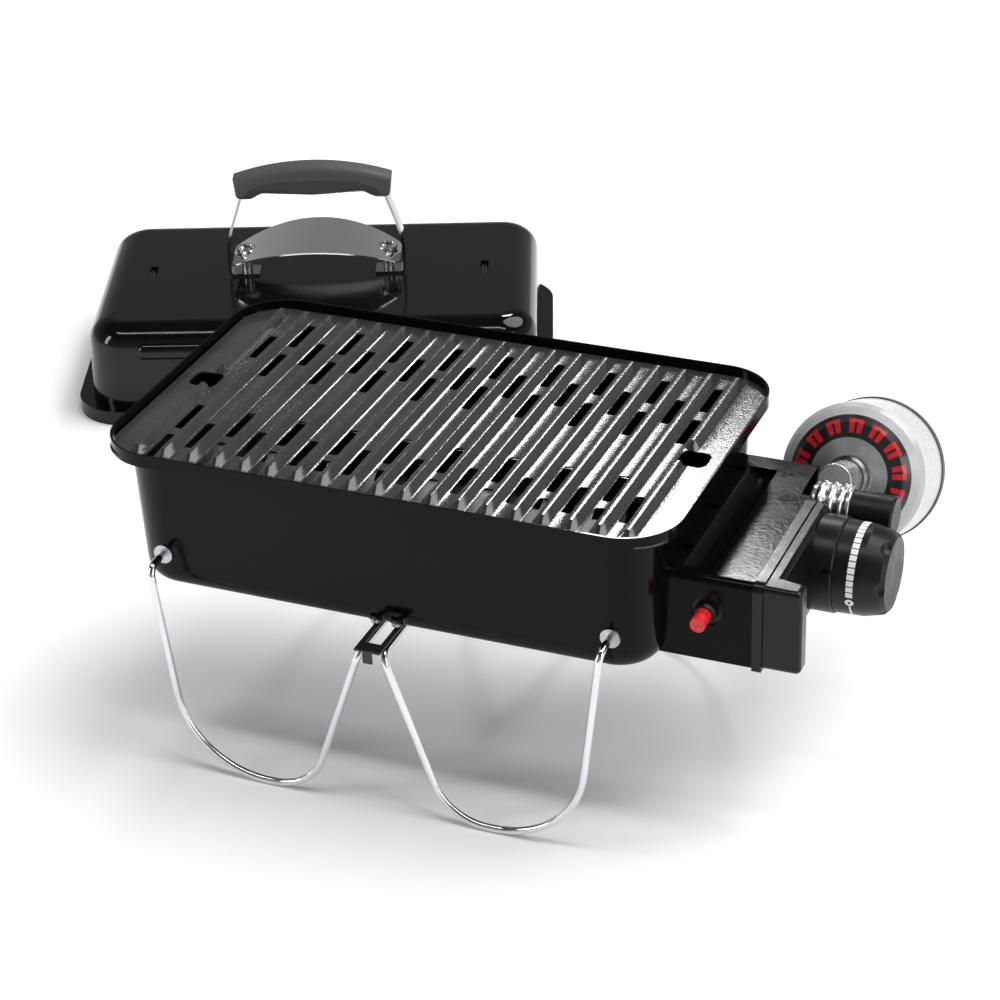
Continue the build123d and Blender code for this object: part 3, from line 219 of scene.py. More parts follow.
def makeGrateEnamel():
    # cooking-surface enamel: charcoal with pale specks, glossy, slightly pebbled
    f = Finish("grateEnamel", grateEnamel["dark"], Specular_IOR_Level=0.5)
    place = f.spot()
    dots = f.cells(place, grateEnamel["specksPerMetre"])
    specks = f.ramp(dots, 0.22, 0.34, 1.0, 0.0)
    cloud = f.noise(place, 26, 4.0, 0.6)
    mottled = f.blend(f.ramp(cloud, 0.3, 0.7, 0.0, 0.5), grateEnamel["dark"], grateEnamel["light"])
    f.set("Base Color", f.blend(specks * 0.55, mottled, grateEnamel["speck"]))
    f.set("Roughness", f.ramp(f.noise(place, 140, 3.0), 0.3, 0.7, *grateEnamel["rough"]))
    pebbles = f.noise(place, grateEnamel["pebblesPerMetre"], 2.0, 0.5)
    f.bump(pebbles + dots * 0.3, grateEnamel["depth"], 0.4)
    return f.material


brightWire = {"color": (0.72, 0.73, 0.75), "dull": (0.5, 0.5, 0.52), "rough": (0.08, 0.22)}


def makeBrightWire():
    # plated wire: mirror bright with a few dull patches
    f = Finish("brightWire", brightWire["color"], 1.0)
    place = f.spot()
    patches = f.noise(place, 30, 4.0, 0.6)
    f.set("Roughness", f.ramp(patches, 0.35, 0.7, *brightWire["rough"]))
    dulled = f.ramp(patches, 0.55, 0.8, 0.0, 0.5)
    f.set("Base Color", f.blend(dulled, brightWire["color"], brightWire["dull"]))
    f.bump(f.noise(place, 1500, 2.0), 0.00004, 0.3)
    return f.material


# the strap's colour is the shield's polished stainless made darker: painted shade, not a different metal
polishedSteel = {"color": (0.74, 0.75, 0.77), "strapShadedColor": (0.34, 0.345, 0.355), "rough": (0.05, 0.13),
                 "cloudShare": 0.76, "lidTurn": math.radians(21.2)}


def makePolishedSteel(name, color):
    # strap and heat shield: rolled stainless, polished along its length; the strap's copy gets a darker base
    # colour, which is painted shade
    f = Finish(name, color, 1.0)
    drawn = f.spot(turn=(0, 0, -polishedSteel["lidTurn"]), stretch=(1.0, 30.0, 30.0))
    lines = f.noise(drawn, 42, 4.0, 0.65)
    cloud = f.noise(f.spot(), 22, 3.0)
    shaded = tuple(c * polishedSteel["cloudShare"] for c in color)
    f.set("Roughness", f.ramp(lines, 0.3, 0.75, *polishedSteel["rough"]))
    f.set("Base Color", f.blend(f.ramp(cloud, 0.45, 0.8, 0.0, 0.3), color, shaded))
    f.bump(lines, 0.00003, 0.25)
    return f.material


zincSteel = {"color": (0.56, 0.57, 0.59), "dark": (0.4, 0.41, 0.43), "rough": (0.26, 0.44),
             "spanglePerMetre": 480}


def makeZincSteel():
    # zinc-plated hardware: soft grey with spangle
    f = Finish("zincSteel", zincSteel["color"], 1.0)
    place = f.spot()
    spangle = f.cells(place, zincSteel["spanglePerMetre"])
    f.set("Base Color", f.blend(spangle.clamped(), zincSteel["color"], zincSteel["dark"]))
    f.set("Roughness", f.ramp(f.noise(place, 160, 3.0), 0.3, 0.7, *zincSteel["rough"]))
    f.bump(f.noise(place, 900, 2.0), 0.00006, 0.4)
    return f.material


blackSteel = {"color": (0.012, 0.012, 0.013), "worn": (0.03, 0.03, 0.032), "rough": (0.32, 0.46)}


def makeBlackSteel():
    # powder-coated small steel parts
    f = Finish("blackSteel", blackSteel["color"])
    place = f.spot()
    grain = f.noise(place, 1100, 2.0)
    wear = f.ramp(f.noise(place, 60), 0.4, 0.8, 0.0, 0.4)
    f.set("Roughness", f.ramp(grain, 0.3, 0.7, *blackSteel["rough"]))
    f.set("Base Color", f.blend(wear, blackSteel["color"], blackSteel["worn"]))
    f.bump(grain, 0.0001, 0.5)
    return f.material


hotSteel = {"color": (0.42, 0.42, 0.43), "straw": (0.28, 0.22, 0.16), "rough": (0.28, 0.46)}


def makeHotSteel(name, stretch):
    # plain steel near the flame, with a little straw tint from heat
    f = Finish(name, hotSteel["color"], 1.0)
    brushed = f.noise(f.spot(stretch=stretch), 60, 4.0, 0.6)
    heat = f.ramp(f.noise(f.spot(), 16, 3.0), 0.45, 0.75, 0.0, 0.6)
    f.set("Base Color", f.blend(heat, hotSteel["color"], hotSteel["straw"]))
    f.set("Roughness", f.ramp(brushed, 0.3, 0.7, *hotSteel["rough"]))
    f.bump(brushed, 0.00006, 0.4)
    return f.material


castMetal = {"color": (0.64, 0.64, 0.66), "dark": (0.42, 0.42, 0.44), "rough": (0.2, 0.38),
             "skinPerMetre": 420}


def makeCastMetal():
    # die-cast zinc: bright, with a fine sandy skin
    f = Finish("castMetal", castMetal["color"], 1.0)
    place = f.spot()
    skin = f.noise(place, castMetal["skinPerMetre"], 4.0, 0.6)
    stain = f.ramp(f.noise(place, 90, 3.0), 0.4, 0.8, 0.0, 0.5)
    f.set("Roughness", f.ramp(skin, 0.3, 0.7, *castMetal["rough"]))
    f.set("Base Color", f.blend(stain, castMetal["color"], castMetal["dark"]))
    f.bump(skin, 0.00022, 0.5)
    return f.material


mouldedBlack = {"color": (0.0045, 0.0045, 0.005), "rough": 0.36, "shine": 0.26, "sparkPerMetre": 1500}


def makeMouldedBlack(name, rough=mouldedBlack["rough"], color=mouldedBlack["color"]):
    # moulded black plastic with a fine spark-eroded grain
    f = Finish(name, color, Specular_IOR_Level=mouldedBlack["shine"])
    place = f.spot()
    grain = f.noise(place, mouldedBlack["sparkPerMetre"], 2.0, 0.6)
    smear = f.noise(place, 34, 4.0, 0.55)
    rubbed = tuple(c * 1.9 + 0.004 for c in color)
    f.set("Roughness", f.ramp(smear, 0.35, 0.7, rough - 0.05, rough + 0.08))
    f.set("Base Color", f.blend(f.ramp(grain, 0.4, 0.8, 0.0, 0.35), color, rubbed))
    f.bump(grain, 0.00009, 0.5)
    return f


gasKnob = {"axisY": 0.0174, "axisZ": 0.173, "radius": 0.0325, "scaleX": 0.3092, "scaleWidth": 0.0050,
           "markStep": 8.0, "markGap": 1.3, "firstMark": -11.0, "lastMark": 117.0, "offDegrees": -18.5,
           "ringOutside": 0.0031, "ringInside": 0.00115, "lineWidth": 0.0012, "lineStart": -25.0,
           "lineEnd": -64.0, "white": (0.82, 0.82, 0.8)}


def makeKnobPlastic():
    # the turning knob carries a scale of white blocks, a small ring for "off" and a pointer line
    f = makeMouldedBlack("knobPlastic")
    x, y, z = f.axes(move=(0, -gasKnob["axisY"], -gasKnob["axisZ"]))
    degrees = z.angleFrom(y * -1.0) * (180 / math.pi)
    aside = x - gasKnob["scaleX"]
    band = aside.size().below(gasKnob["scaleWidth"] / 2)
    swept = degrees.above(gasKnob["firstMark"]) * degrees.below(gasKnob["lastMark"])
    marks = (degrees - gasKnob["firstMark"]).repeat(gasKnob["markStep"]).above(gasKnob["markGap"])
    around = (degrees - gasKnob["offDegrees"]) * (math.radians(1) * gasKnob["radius"])
    away = (aside.power(2.0) + around * around).power(0.5)
    ring = away.below(gasKnob["ringOutside"]) * away.above(gasKnob["ringInside"])
    lineSweep = degrees.below(gasKnob["lineStart"]) * degrees.above(gasKnob["lineEnd"])
    line = aside.size().below(gasKnob["lineWidth"] / 2) * lineSweep
    painted = (band * swept * marks + ring + line).clamped()
    plain = Signal(f.tree, f.shader.inputs["Base Color"].links[0].from_socket)
    f.set("Base Color", f.blend(painted, plain, gasKnob["white"]))
    return f.material


redPlastic = {"color": (0.5, 0.008, 0.012), "light": (0.66, 0.03, 0.03), "rough": (0.22, 0.34)}


def makeRedPlastic():
    # glossy red plastic of the igniter's button
    f = Finish("redPlastic", redPlastic["color"], Specular_IOR_Level=0.5)
    place = f.spot()
    cloud = f.noise(place, 240, 3.0)
    f.set("Base Color", f.blend(f.ramp(cloud, 0.3, 0.7), redPlastic["color"], redPlastic["light"]))
    f.set("Roughness", f.ramp(cloud, 0.3, 0.7, *redPlastic["rough"]))
    f.bump(f.noise(place, 1300, 2.0), 0.00008, 0.4)
    return f.material


cartridge = {"axisStart": (0.270, 0.127, 0.183), "lean": math.atan2(0.390731, 0.920505),
             "body": (0.44, 0.44, 0.44), "bodyLight": (0.5, 0.5, 0.5), "shoulder": (0.56, 0.57, 0.58),
             "black": (0.012, 0.012, 0.013), "red": (0.52, 0.012, 0.02), "rough": (0.2, 0.32),
             "topEnd": 0.0125, "ringInside": 0.029, "ringOutside": 0.0455,
             "blocks": 14, "blockInside": 0.0325, "blockOutside": 0.0425, "notchOutside": 0.0405}

canPrint = {"every": 90.0, "panelStart": 22.0, "panelEnd": 62.0, "sideMiddle": 42.0, "sideFrom": 21.0,
            "sideTo": 21.8, "middle": 0.039, "edgeFrom": 0.0158, "edgeTo": 0.0167, "sideReach": 0.0165,
            "low": 0.019, "high": 0.058, "rulesLow": 0.026, "rulesHigh": 0.052, "ruleStep": 4.0,
            "ruleWidth": 1.1, "breaksPerMetre": 95, "grey": (0.2, 0.2, 0.22), "red": (0.6, 0.12, 0.12)}


def canPlaces(f):
    # distance along the can's axis and from it, and the angle round it
    x, y, z = f.axes(move=tuple(-c for c in cartridge["axisStart"]))
    lean = cartridge["lean"]
    along = y * math.cos(lean) - z * math.sin(lean)
    across = y * -math.sin(lean) - z * math.cos(lean)
    return along, (x * x + across * across).power(0.5), across.angleFrom(x)


def printedSide(f, body, along, turned):
    # pale print on the can's side: framed panels with short rules
    degrees = turned * (180 / math.pi)
    inPanel = degrees.repeat(canPrint["every"])
    panel = inPanel.above(canPrint["panelStart"]) * inPanel.below(canPrint["panelEnd"])
    onSide = along.above(canPrint["low"]) * along.below(canPrint["high"])
    ruleRow = degrees.repeat(canPrint["ruleStep"]).below(canPrint["ruleWidth"])
    breaks = f.noise(f.spot(), canPrint["breaksPerMetre"], 1.0).above(0.5)
    ruled = along.above(canPrint["rulesLow"]) * along.below(canPrint["rulesHigh"])
    body = f.blend(onSide * ruleRow * breaks * panel * ruled * 0.42, body, canPrint["grey"])
    offMiddle = (along - canPrint["middle"]).size()
    edges = offMiddle.above(canPrint["edgeFrom"]) * offMiddle.below(canPrint["edgeTo"]) * panel
    offCentre = (inPanel - canPrint["sideMiddle"]).size()
    sides = offCentre.above(canPrint["sideFrom"]) * offCentre.below(canPrint["sideTo"])
    box = (edges + sides * offMiddle.below(canPrint["sideReach"])).clamped() * onSide
    return f.blend(box * 0.55, body, canPrint["red"])


def makeCanLacquer():
    # printed tinplate: bare grey top, black ring with plain red blocks, pale body
    f = Finish("canLacquer", cartridge["body"], Specular_IOR_Level=0.5, Coat_Weight=0.35, Coat_Roughness=0.08)
    along, radius, turned = canPlaces(f)
    onTop = along.below(cartridge["topEnd"])
    ring = onTop * radius.above(cartridge["ringInside"]) * radius.below(cartridge["ringOutside"])
    step = 2 * math.pi / cartridge["blocks"]
    phase = turned.repeat(step) / step
    stroke = phase.above(0.2) * phase.below(0.8)
    notch = phase.above(0.44) * phase.below(0.56) * radius.below(cartridge["notchOutside"])
    inBlocks = radius.above(cartridge["blockInside"]) * radius.below(cartridge["blockOutside"])
    bare = onTop * radius.below(cartridge["ringInside"])
    place = f.spot()
    tin = f.noise(place, 120, 3.0)
    body = f.blend(f.ramp(tin, 0.3, 0.7, 0.0, 0.25), cartridge["body"], cartridge["bodyLight"])
    top = f.blend(bare, printedSide(f, body, along, turned), cartridge["shoulder"])
    top = f.blend(ring, top, cartridge["black"])
    f.set("Base Color", f.blend(stroke * (1 - notch) * inBlocks * ring, top, cartridge["red"]))
    f.set("Metallic", bare * 0.75)
    f.set("Roughness", f.ramp(tin, 0.3, 0.7, *cartridge["rough"]))
    f.bump(f.noise(place, 60, 2.0), 0.00008, 0.3)
    return f.material


brass = {"color": (0.72, 0.5, 0.2), "dark": (0.5, 0.32, 0.12), "rough": (0.18, 0.34)}


def makeBrass():
    # turned brass of the jet and the valve stem
    f = Finish("brass", brass["color"], 1.0)
    place = f.spot()
    cloud = f.noise(place, 200, 3.0)
    f.set("Base Color", f.blend(f.ramp(cloud, 0.4, 0.8, 0.0, 0.6), brass["color"], brass["dark"]))
    f.set("Roughness", f.ramp(cloud, 0.3, 0.7, *brass["rough"]))
    f.bump(f.noise(place, 900, 2.0), 0.00005, 0.3)
    return f.material


valveCup = {"dark": (0.09, 0.09, 0.095), "light": (0.2, 0.2, 0.21), "brass": (0.7, 0.47, 0.17),
            "brassRadius": 0.0085, "rough": (0.22, 0.4)}


def makeValveCup():
    # crimped cup of the cartridge: dark plated rim, brass only at the small thread in the middle
    f = Finish("valveCup", valveCup["dark"], 1.0)
    radius = canPlaces(f)[1]
    cloud = f.noise(f.spot(), 220, 3.0)
    plated = f.blend(cloud, valveCup["dark"], valveCup["light"])
    f.set("Base Color", f.blend(radius.below(valveCup["brassRadius"]), plated, valveCup["brass"]))
    f.set("Roughness", f.ramp(cloud, 0.3, 0.7, *valveCup["rough"]))
    f.bump(f.noise(f.spot(), 900, 2.0), 0.00005, 0.3)
    return f.material


ceramic = {"color": (0.8, 0.77, 0.7), "stained": (0.66, 0.62, 0.54), "rough": (0.16, 0.3)}


def makeCeramic():
    # glazed sleeve of the spark electrode
    f = Finish("ceramic", ceramic["color"], Coat_Weight=0.4, Coat_Roughness=0.06)
    cloud = f.noise(f.spot(), 300, 3.0)
    f.set("Base Color", f.blend(f.ramp(cloud, 0.3, 0.8), ceramic["color"], ceramic["stained"]))
    f.set("Roughness", f.ramp(cloud, 0.3, 0.7, *ceramic["rough"]))
    f.bump(cloud, 0.00008, 0.3)
    return f.material


leadRubber = {"color": (0.02, 0.02, 0.021), "bloom": (0.045, 0.045, 0.046), "rough": (0.48, 0.64)}


def makeLeadRubber():
    # matt insulation of the ignition lead
    f = Finish("leadRubber", leadRubber["color"])
    bloom = f.noise(f.spot(), 180, 3.0)
    f.set("Base Color", f.blend(f.ramp(bloom, 0.4, 0.8), leadRubber["color"], leadRubber["bloom"]))
    f.set("Roughness", f.ramp(bloom, 0.3, 0.7, *leadRubber["rough"]))
    f.bump(bloom, 0.0001, 0.4)
    return f.material


finishes = {
    "glossEnamel": makeGlossEnamel("glossEnamel", glossEnamel["shine"]),
    "lidEnamel": makeGlossEnamel("lidEnamel", glossEnamel["lidShine"]),
    "wrinkleCoat": makeWrinkleCoat(),
    "grateEnamel": makeGrateEnamel(),
    "brightWire": makeBrightWire(),
    "polishedSteel": makePolishedSteel("polishedSteel", polishedSteel["color"]),
    # the strap's finish is a darker copy of the polished steel: painted shade
    "shadedStrapSteel": makePolishedSteel("shadedStrapSteel", polishedSteel["strapShadedColor"]),
    "zincSteel": makeZincSteel(),
    "blackSteel": makeBlackSteel(),
    "tamerSteel": makeHotSteel("tamerSteel", (1.0, 20.0, 20.0)),
    "burnerSteel": makeHotSteel("burnerSteel", (1.0, 25.0, 25.0)),
    "castMetal": makeCastMetal(),
    "mouldedBlack": makeMouldedBlack("mouldedBlack").material,
    "capPlastic": makeMouldedBlack("capPlastic", 0.2).material,
    "knobPlastic": makeKnobPlastic(),
    "gripPlastic": makeMouldedBlack("gripPlastic", 0.52, (0.052, 0.052, 0.057)).material,
    "insertPlastic": makeMouldedBlack("insertPlastic", 0.4, (0.03, 0.03, 0.033)).material,
    "redPlastic": makeRedPlastic(),
    "canLacquer": makeCanLacquer(),
    "brass": makeBrass(),
    "valveCup": makeValveCup(),
    "ceramic": makeCeramic(),
    "leadRubber": makeLeadRubber(),
}
print("finishes made:", len(finishes))

partFinish = {
    "bowl": "glossEnamel",
    "lid_shell": "lidEnamel",
    "leg_bushes": "zincSteel",
    "leg_left": "brightWire",
    "leg_right": "brightWire",
    "leg_catch": "blackSteel",
    "catch_screws": "zincSteel",
    "cooking_grate": "grateEnamel",
    "flame_tamer": "tamerSteel",
    "tamer_ledges": "glossEnamel",
    "burner_tube": "burnerSteel",
    "burner_bracket": "burnerSteel",
    "control_box": "wrinkleCoat",
    "end_cap": "capPlastic",
    "knob_collar": "mouldedBlack",
    "control_knob": "knobPlastic",
    "valve_stem": "brass",
    "regulator_body": "castMetal",
    "regulator_bonnet": "mouldedBlack",
    "gas_jet": "brass",
    "cartridge_can": "canLacquer",
    "cartridge_valve": "valveCup",
    "cartridge_rim": "blackSteel",
    "igniter_body": "mouldedBlack",
    "igniter_button": "redPlastic",
    "igniter_spring": "zincSteel",
    "electrode_ceramic": "ceramic",
    "spark_electrode": "brightWire",
    "ignition_lead": "leadRubber",
    "box_screws": "zincSteel",
    "handle_strap": "shadedStrapSteel",
    "handle_grip": "gripPlastic",
    "grip_insert": "insertPlastic",
    "heat_shield": "polishedSteel",
    "shield_spacers": "zincSteel",
    "handle_bolts": "polishedSteel",
    "handle_nuts": "zincSteel",
}


def paint(thing, finish):
    thing.data.materials.clear()
    thing.data.materials.append(finishes[finish])


for part, finish in partFinish.items():
    paint(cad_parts[part], finish)
unpainted = sorted(set(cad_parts) - set(partFinish))
print("parts left without a finish:", unpainted)


def finished(bm, name, finish, body, stands=(), smoothBelow=35.0):
    # turns a bmesh into a piece that rides on a body and stands for CAD nodes
    bmesh.ops.recalc_face_normals(bm, faces=bm.faces)
    for edge in bm.edges:
        edge.smooth = len(edge.link_faces) == 2 and edge.calc_face_angle(0.0) < math.radians(smoothBelow)
    for face in bm.faces:
        face.smooth = True
    mesh = bpy.data.meshes.new(name)
    bm.to_mesh(mesh)
    bm.free()
    thing = bpy.data.objects.new(name, mesh)
    bpy.context.scene.collection.objects.link(thing)
    mesh.materials.append(finishes[finish])
    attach(thing, body)
    if stands:
        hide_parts(*stands)
    return thing


grate = {"ridges": 19, "pitch": 0.0205, "base": 0.0110, "crest": 0.0030, "rise": 0.0062, "run": 0.244,
         "hip": 0.0045, "sheet": 0.0013, "slotRun": 0.038, "slotWidth": 0.0070, "corner": 0.0282,
         "evenRows": (0.0625, -0.0575, -0.105), "oddRows": (0.088, 0.037, -0.0815),
         "fingerX": 0.191, "fingerHole": 0.022, "fingerFlat": 0.0045, "fingerRound": 0.006,
         "fingerClear": 0.012, "slotRoundShare": 0.96, "clearBelow": 0.0001, "crease": 0.0009,
         "creaseFrom": 20.0, "creaseTo": 80.0, "smoothBelow": 50.0,
         "valleyRise": 0.00038, "valleyCurve": 2.5, "valleyCuts": (0.0016, 0.0026)}


def openCorner(v, halfX, halfY):
    # a square corner of a slot or finger hole, away from the sheet's own outline
    rims = [(e.other_vert(v).co - v.co).normalized() for e in v.link_edges if e.is_boundary]
    inside = abs(v.co.x) < halfX - 0.002 and abs(v.co.y) < halfY - 0.001
    return inside and len(rims) == 2 and abs(rims[0].dot(rims[1])) < 0.2


def ridgeFold(edge):
    # a fold that runs along a ridge, and not the cut edge of the sheet
    if len(edge.link_faces) != 2:
        return False
    angle = math.degrees(edge.calc_face_angle(0.0))
    along = (edge.verts[0].co - edge.verts[1].co).normalized()
    return grate["creaseFrom"] < angle < grate["creaseTo"] and abs(along.y) > 0.5


def makeGrate():
    # one pressed sheet: cut into strips, slots taken out, ridges lifted, then thickened and softened
    low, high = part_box("cooking_grate")
    halfX, halfY = (high.x - low.x) / 2, (high.y - low.y) / 2
    top = low.z + grate["clearBelow"] + grate["sheet"]
    bm = bmesh.new()
    bmesh.ops.create_grid(bm, x_segments=1, y_segments=1, size=1.0,
                          matrix=Matrix.Translation((0, 0, top)) @ Matrix.Diagonal((halfX, halfY, 1, 1)))
    bmesh.ops.bevel(bm, geom=bm.verts[:], offset=grate["corner"], segments=8, profile=0.5,
                    affect="VERTICES", material=-1)
    count = grate["ridges"]
    ridges = [(n - (count - 1) / 2) * grate["pitch"] for n in range(count)]
    valleys = [(n - (count - 2) / 2) * grate["pitch"] for n in range(count - 1)]
    halfBase, halfCrest, halfRun = grate["base"] / 2, grate["crest"] / 2, grate["run"] / 2
    halfSlot, halfSlotRun, halfHole = grate["slotWidth"] / 2, grate["slotRun"] / 2, grate["fingerHole"] / 2
    flatHalf = halfHole + grate["fingerFlat"]
    crestHalf = halfRun - grate["hip"]
    cutsX = [x + s for x in ridges for s in (-halfBase, -halfCrest, halfCrest, halfBase)]
    cutsX += [x + s for x in valleys for s in (-halfSlot, halfSlot)]
    cutsX += [x + side * s for x in valleys for s in grate["valleyCuts"] for side in (-1, 1)]
    cutsX += [side * (grate["fingerX"] + s) for side in (-1, 1) for s in (-halfHole, halfHole)]
    cutsY = [y + s for y in grate["evenRows"] + grate["oddRows"] for s in (-halfSlotRun, halfSlotRun)]
    cutsY += [side * y for side in (-1, 1) for y in (halfRun, crestHalf, halfHole, flatHalf)]
    for spots, normal in ((cutsX, (1, 0, 0)), (cutsY, (0, 1, 0))):
        for spot in sorted(spots):
            bmesh.ops.bisect_plane(bm, geom=bm.verts[:] + bm.edges[:] + bm.faces[:], dist=1e-6,
                                   plane_co=(spot * normal[0], spot * normal[1], 0), plane_no=normal)
    # slots and finger holes
    gone = []
    for face in bm.faces:
        at = face.calc_center_median()
        for n, x in enumerate(valleys):
            rows = grate["oddRows"] if n % 2 else grate["evenRows"]
            if abs(at.x - x) < halfSlot and any(abs(at.y - row) < halfSlotRun for row in rows):
                gone.append(face)
        if abs(abs(at.x) - grate["fingerX"]) < halfHole and abs(at.y) < halfHole:
            gone.append(face)
    bmesh.ops.delete(bm, geom=gone, context="FACES")
    # the square corners of the holes become round before anything is lifted
    corners = [v for v in bm.verts if openCorner(v, halfX, halfY)]
    small = [v for v in corners if abs(v.co.x) < grate["fingerX"] - halfHole - 0.002]
    large = [v for v in corners if v not in small]
    for verts, offset in ((small, halfSlot * grate["slotRoundShare"]), (large, grate["fingerRound"])):
        bmesh.ops.bevel(bm, geom=[v for v in verts if v.is_valid], offset=offset, segments=4, profile=0.5,
                        affect="VERTICES", material=-1)
    # lift the crests
    slack = 1e-5
    for v in bm.verts:
        ridge = min(ridges, key=lambda x: abs(x - v.co.x))
        if abs(ridge) > grate["fingerX"] - grate["fingerClear"] and abs(v.co.y) < flatHalf - slack:
            continue
        if abs(v.co.x - ridge) < halfCrest + slack and abs(v.co.y) < crestHalf + slack:
            v.co.z += grate["rise"]
    # the valleys are shallow troughs that sweep up into the ridges
    halfValley = grate["pitch"] / 2 - halfBase
    for v in bm.verts:
        aside = min(abs(x - v.co.x) for x in valleys)
        if aside < halfValley + slack and abs(v.co.y) < crestHalf + slack:
            v.co.z += grate["valleyRise"] * (aside / halfValley) ** grate["valleyCurve"]
    bmesh.ops.remove_doubles(bm, verts=bm.verts, dist=1e-6)
    bmesh.ops.solidify(bm, geom=bm.faces[:], thickness=grate["sheet"])
    bmesh.ops.recalc_face_normals(bm, faces=bm.faces)
    bmesh.ops.bevel(bm, geom=[e for e in bm.edges if ridgeFold(e)], offset=grate["crease"], segments=3,
                    profile=0.5, affect="EDGES", clamp_overlap=True, material=-1)
    return finished(bm, "pressed_cooking_grate", "grateEnamel", "grate", ["cooking_grate"],
                    grate["smoothBelow"])


pressedGrate = makeGrate()
print("cooking grate pressed:", len(pressedGrate.data.polygons), "faces")

casting = {"voxel": 0.0007, "softenPasses": 5, "softenShare": 0.5}


def makeCasting():
    # the regulator is one casting: its drum, neck and bosses run into each other with small fillets
    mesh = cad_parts["regulator_body"].data.copy()
    bm = bmesh.new()
    bm.from_mesh(mesh)
    bmesh.ops.remove_doubles(bm, verts=bm.verts, dist=1e-6)
    bm.to_mesh(mesh)
    bm.free()
    mesh.name = "regulator_casting"
    thing = bpy.data.objects.new("regulator_casting", mesh)
    bpy.context.scene.collection.objects.link(thing)
    remesh = thing.modifiers.new("oneSkin", "REMESH")
    remesh.mode = "VOXEL"
    remesh.voxel_size = casting["voxel"]
    remesh.use_smooth_shade = True
    soften = thing.modifiers.new("softEdges", "SMOOTH")
    soften.factor = casting["softenShare"]
    soften.iterations = casting["softenPasses"]
    paint(thing, "castMetal")
    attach(thing, "firebox")
    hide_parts("regulator_body")


makeCasting()
print("regulator casting made")

studio = {"floorSize": 60.0, "floorColor": (0.93, 0.93, 0.93), "floorBelow": 0.0002, "fadeLow": 0.05,
          "fadeHigh": 0.75, "skyLow": 0.42, "skyHigh": 0.05, "sunWatts": 2.9, "sunSpread": 48.0,
          "sunFrom": (0.55, 0.35, 1.0)}


def makeFloor():
    plain = studio["floorColor"]
    f = Finish("studioFloor", plain, Roughness=0.6, Specular_IOR_Level=0.1)
    tone = f.noise(f.spot(), 0.3, 2.0)
    f.set("Base Color", f.blend(tone, plain, tuple(c * 0.99 for c in plain)))
    bm = bmesh.new()
    bmesh.ops.create_grid(bm, x_segments=2, y_segments=2, size=studio["floorSize"] / 2,
                          matrix=Matrix.Translation((0, 0, cadBox[0][2] - studio["floorBelow"])))
    mesh = bpy.data.meshes.new("studio_floor")
    bm.to_mesh(mesh)
    bm.free()
    mesh.materials.append(f.material)
    thing = bpy.data.objects.new("studio_floor", mesh)
    bpy.context.scene.collection.objects.link(thing)


softboxes = {
    "rakeSoftbox": {"at": (-0.34, 1.5, 1.3), "toward": (0.12, -0.05, 0.25),
                    "wide": 0.26, "tall": 0.2, "watts": 8},
    "topStrip": {"at": (0.0, -0.5, 2.2), "toward": (0.0, 0.0, 0.1),
                 "wide": 2.2, "tall": 0.2, "watts": 15},
    "rightSoftbox": {"at": (2.2, -0.6, 0.9), "toward": (0.1, 0.0, 0.15),
                     "wide": 0.7, "tall": 1.4, "watts": 12},
    "leftStrip": {"at": (-1.9, -1.3, 1.0), "toward": (-0.2, 0.2, 0.1),
                  "wide": 0.4, "tall": 1.4, "watts": 20},
}


def makeSoftbox(name, at, toward, wide, tall, watts):
    data = bpy.data.lights.new(name, "AREA")
    data.shape = "RECTANGLE"
    data.size = wide
    data.size_y = tall
    data.energy = watts
    lamp = bpy.data.objects.new(name, data)
    lamp.location = at
    lamp.rotation_euler = (Vector(toward) - Vector(at)).to_track_quat("-Z", "Y").to_euler()
    bpy.context.scene.collection.objects.link(lamp)


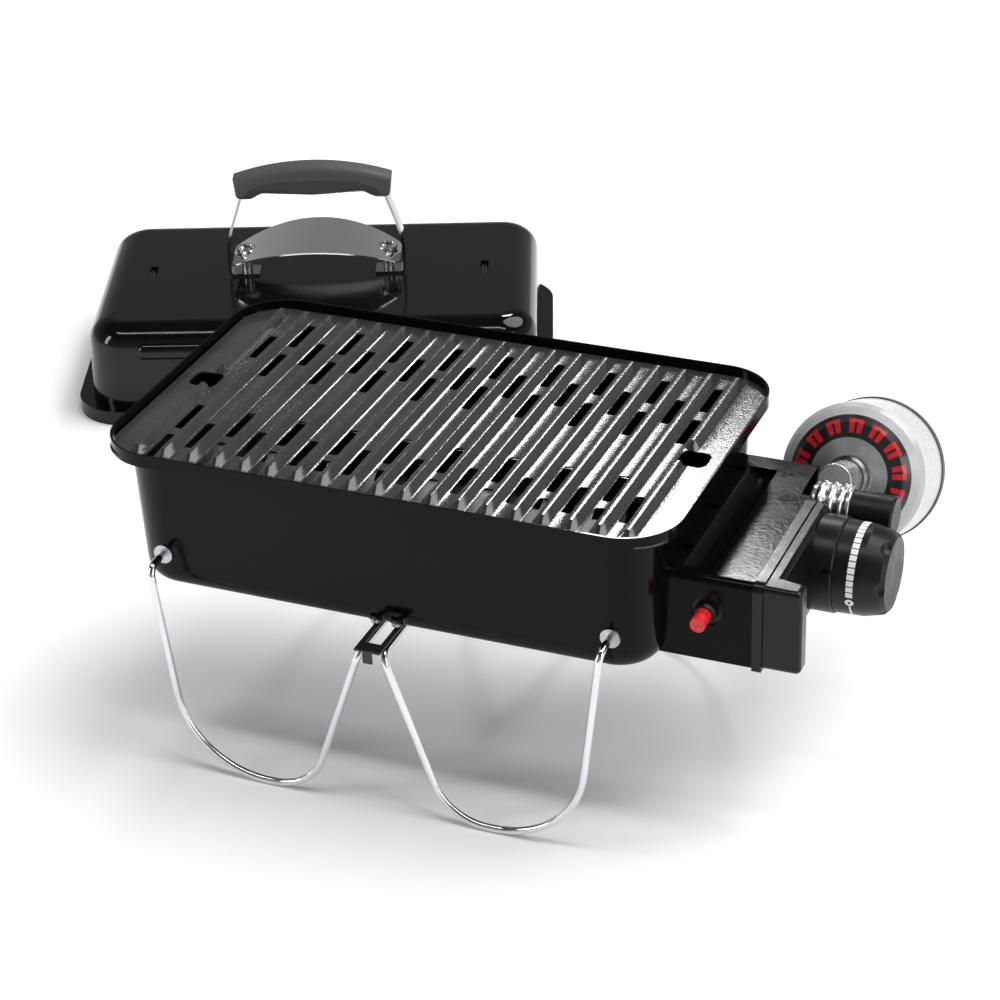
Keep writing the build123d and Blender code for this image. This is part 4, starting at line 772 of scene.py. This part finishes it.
def makeWorld():
    # pale near the horizon and dark overhead, as in a studio with a black ceiling
    world = bpy.data.worlds.new("studioSky")
    world.use_nodes = True
    tree = world.node_tree
    here = tree.nodes.new("ShaderNodeTexCoord")
    split = tree.nodes.new("ShaderNodeSeparateXYZ")
    tree.links.new(here.outputs["Generated"], split.inputs[0])
    fade = tree.nodes.new("ShaderNodeMapRange")
    tree.links.new(split.outputs[2], fade.inputs["Value"])
    ends = {"From Min": "fadeLow", "From Max": "fadeHigh", "To Min": "skyLow", "To Max": "skyHigh"}
    for name, value in ends.items():
        fade.inputs[name].default_value = studio[value]
    tree.links.new(fade.outputs[0], tree.nodes["Background"].inputs["Strength"])
    tree.nodes["Background"].inputs["Color"].default_value = (1, 1, 1, 1)
    bpy.context.scene.world = world


def makeSun():
    data = bpy.data.lights.new("skylight", "SUN")
    data.energy = studio["sunWatts"]
    data.angle = math.radians(studio["sunSpread"])
    lamp = bpy.data.objects.new("skylight", data)
    lamp.rotation_euler = Vector(studio["sunFrom"]).to_track_quat("Z", "Y").to_euler()
    bpy.context.scene.collection.objects.link(lamp)


makeFloor()
makeWorld()
makeSun()
for name, values in softboxes.items():
    makeSoftbox(name, **values)

lensSetup = {"lookAt": (0.0429, 0.0, 0.1880), "turn": 23.06, "rise": 29.29, "roll": -1.91,
             "distance": 2.0723, "lens": 102.9, "sensor": 36.0, "farthest": 200.0}


def makeCamera():
    turn, rise, roll = (math.radians(lensSetup[k]) for k in ("turn", "rise", "roll"))
    back = Vector((math.sin(turn) * math.cos(rise), -math.cos(turn) * math.cos(rise), math.sin(rise)))
    right = Vector((math.cos(turn), math.sin(turn), 0))
    up = back.cross(right)
    rolledRight = right * math.cos(roll) + up * math.sin(roll)
    rolledUp = up * math.cos(roll) - right * math.sin(roll)
    data = bpy.data.cameras.new("camera")
    data.lens = lensSetup["lens"]
    data.sensor_width = lensSetup["sensor"]
    data.clip_end = lensSetup["farthest"]
    camera = bpy.data.objects.new("camera", data)
    turned = Matrix((rolledRight, rolledUp, back)).transposed().to_4x4()
    place = Vector(lensSetup["lookAt"]) + back * lensSetup["distance"]
    camera.matrix_world = Matrix.Translation(place) @ turned
    bpy.context.scene.collection.objects.link(camera)
    bpy.context.scene.camera = camera


makeCamera()
bpy.context.scene.view_settings.view_transform = "Standard"
print("studio and camera ready")
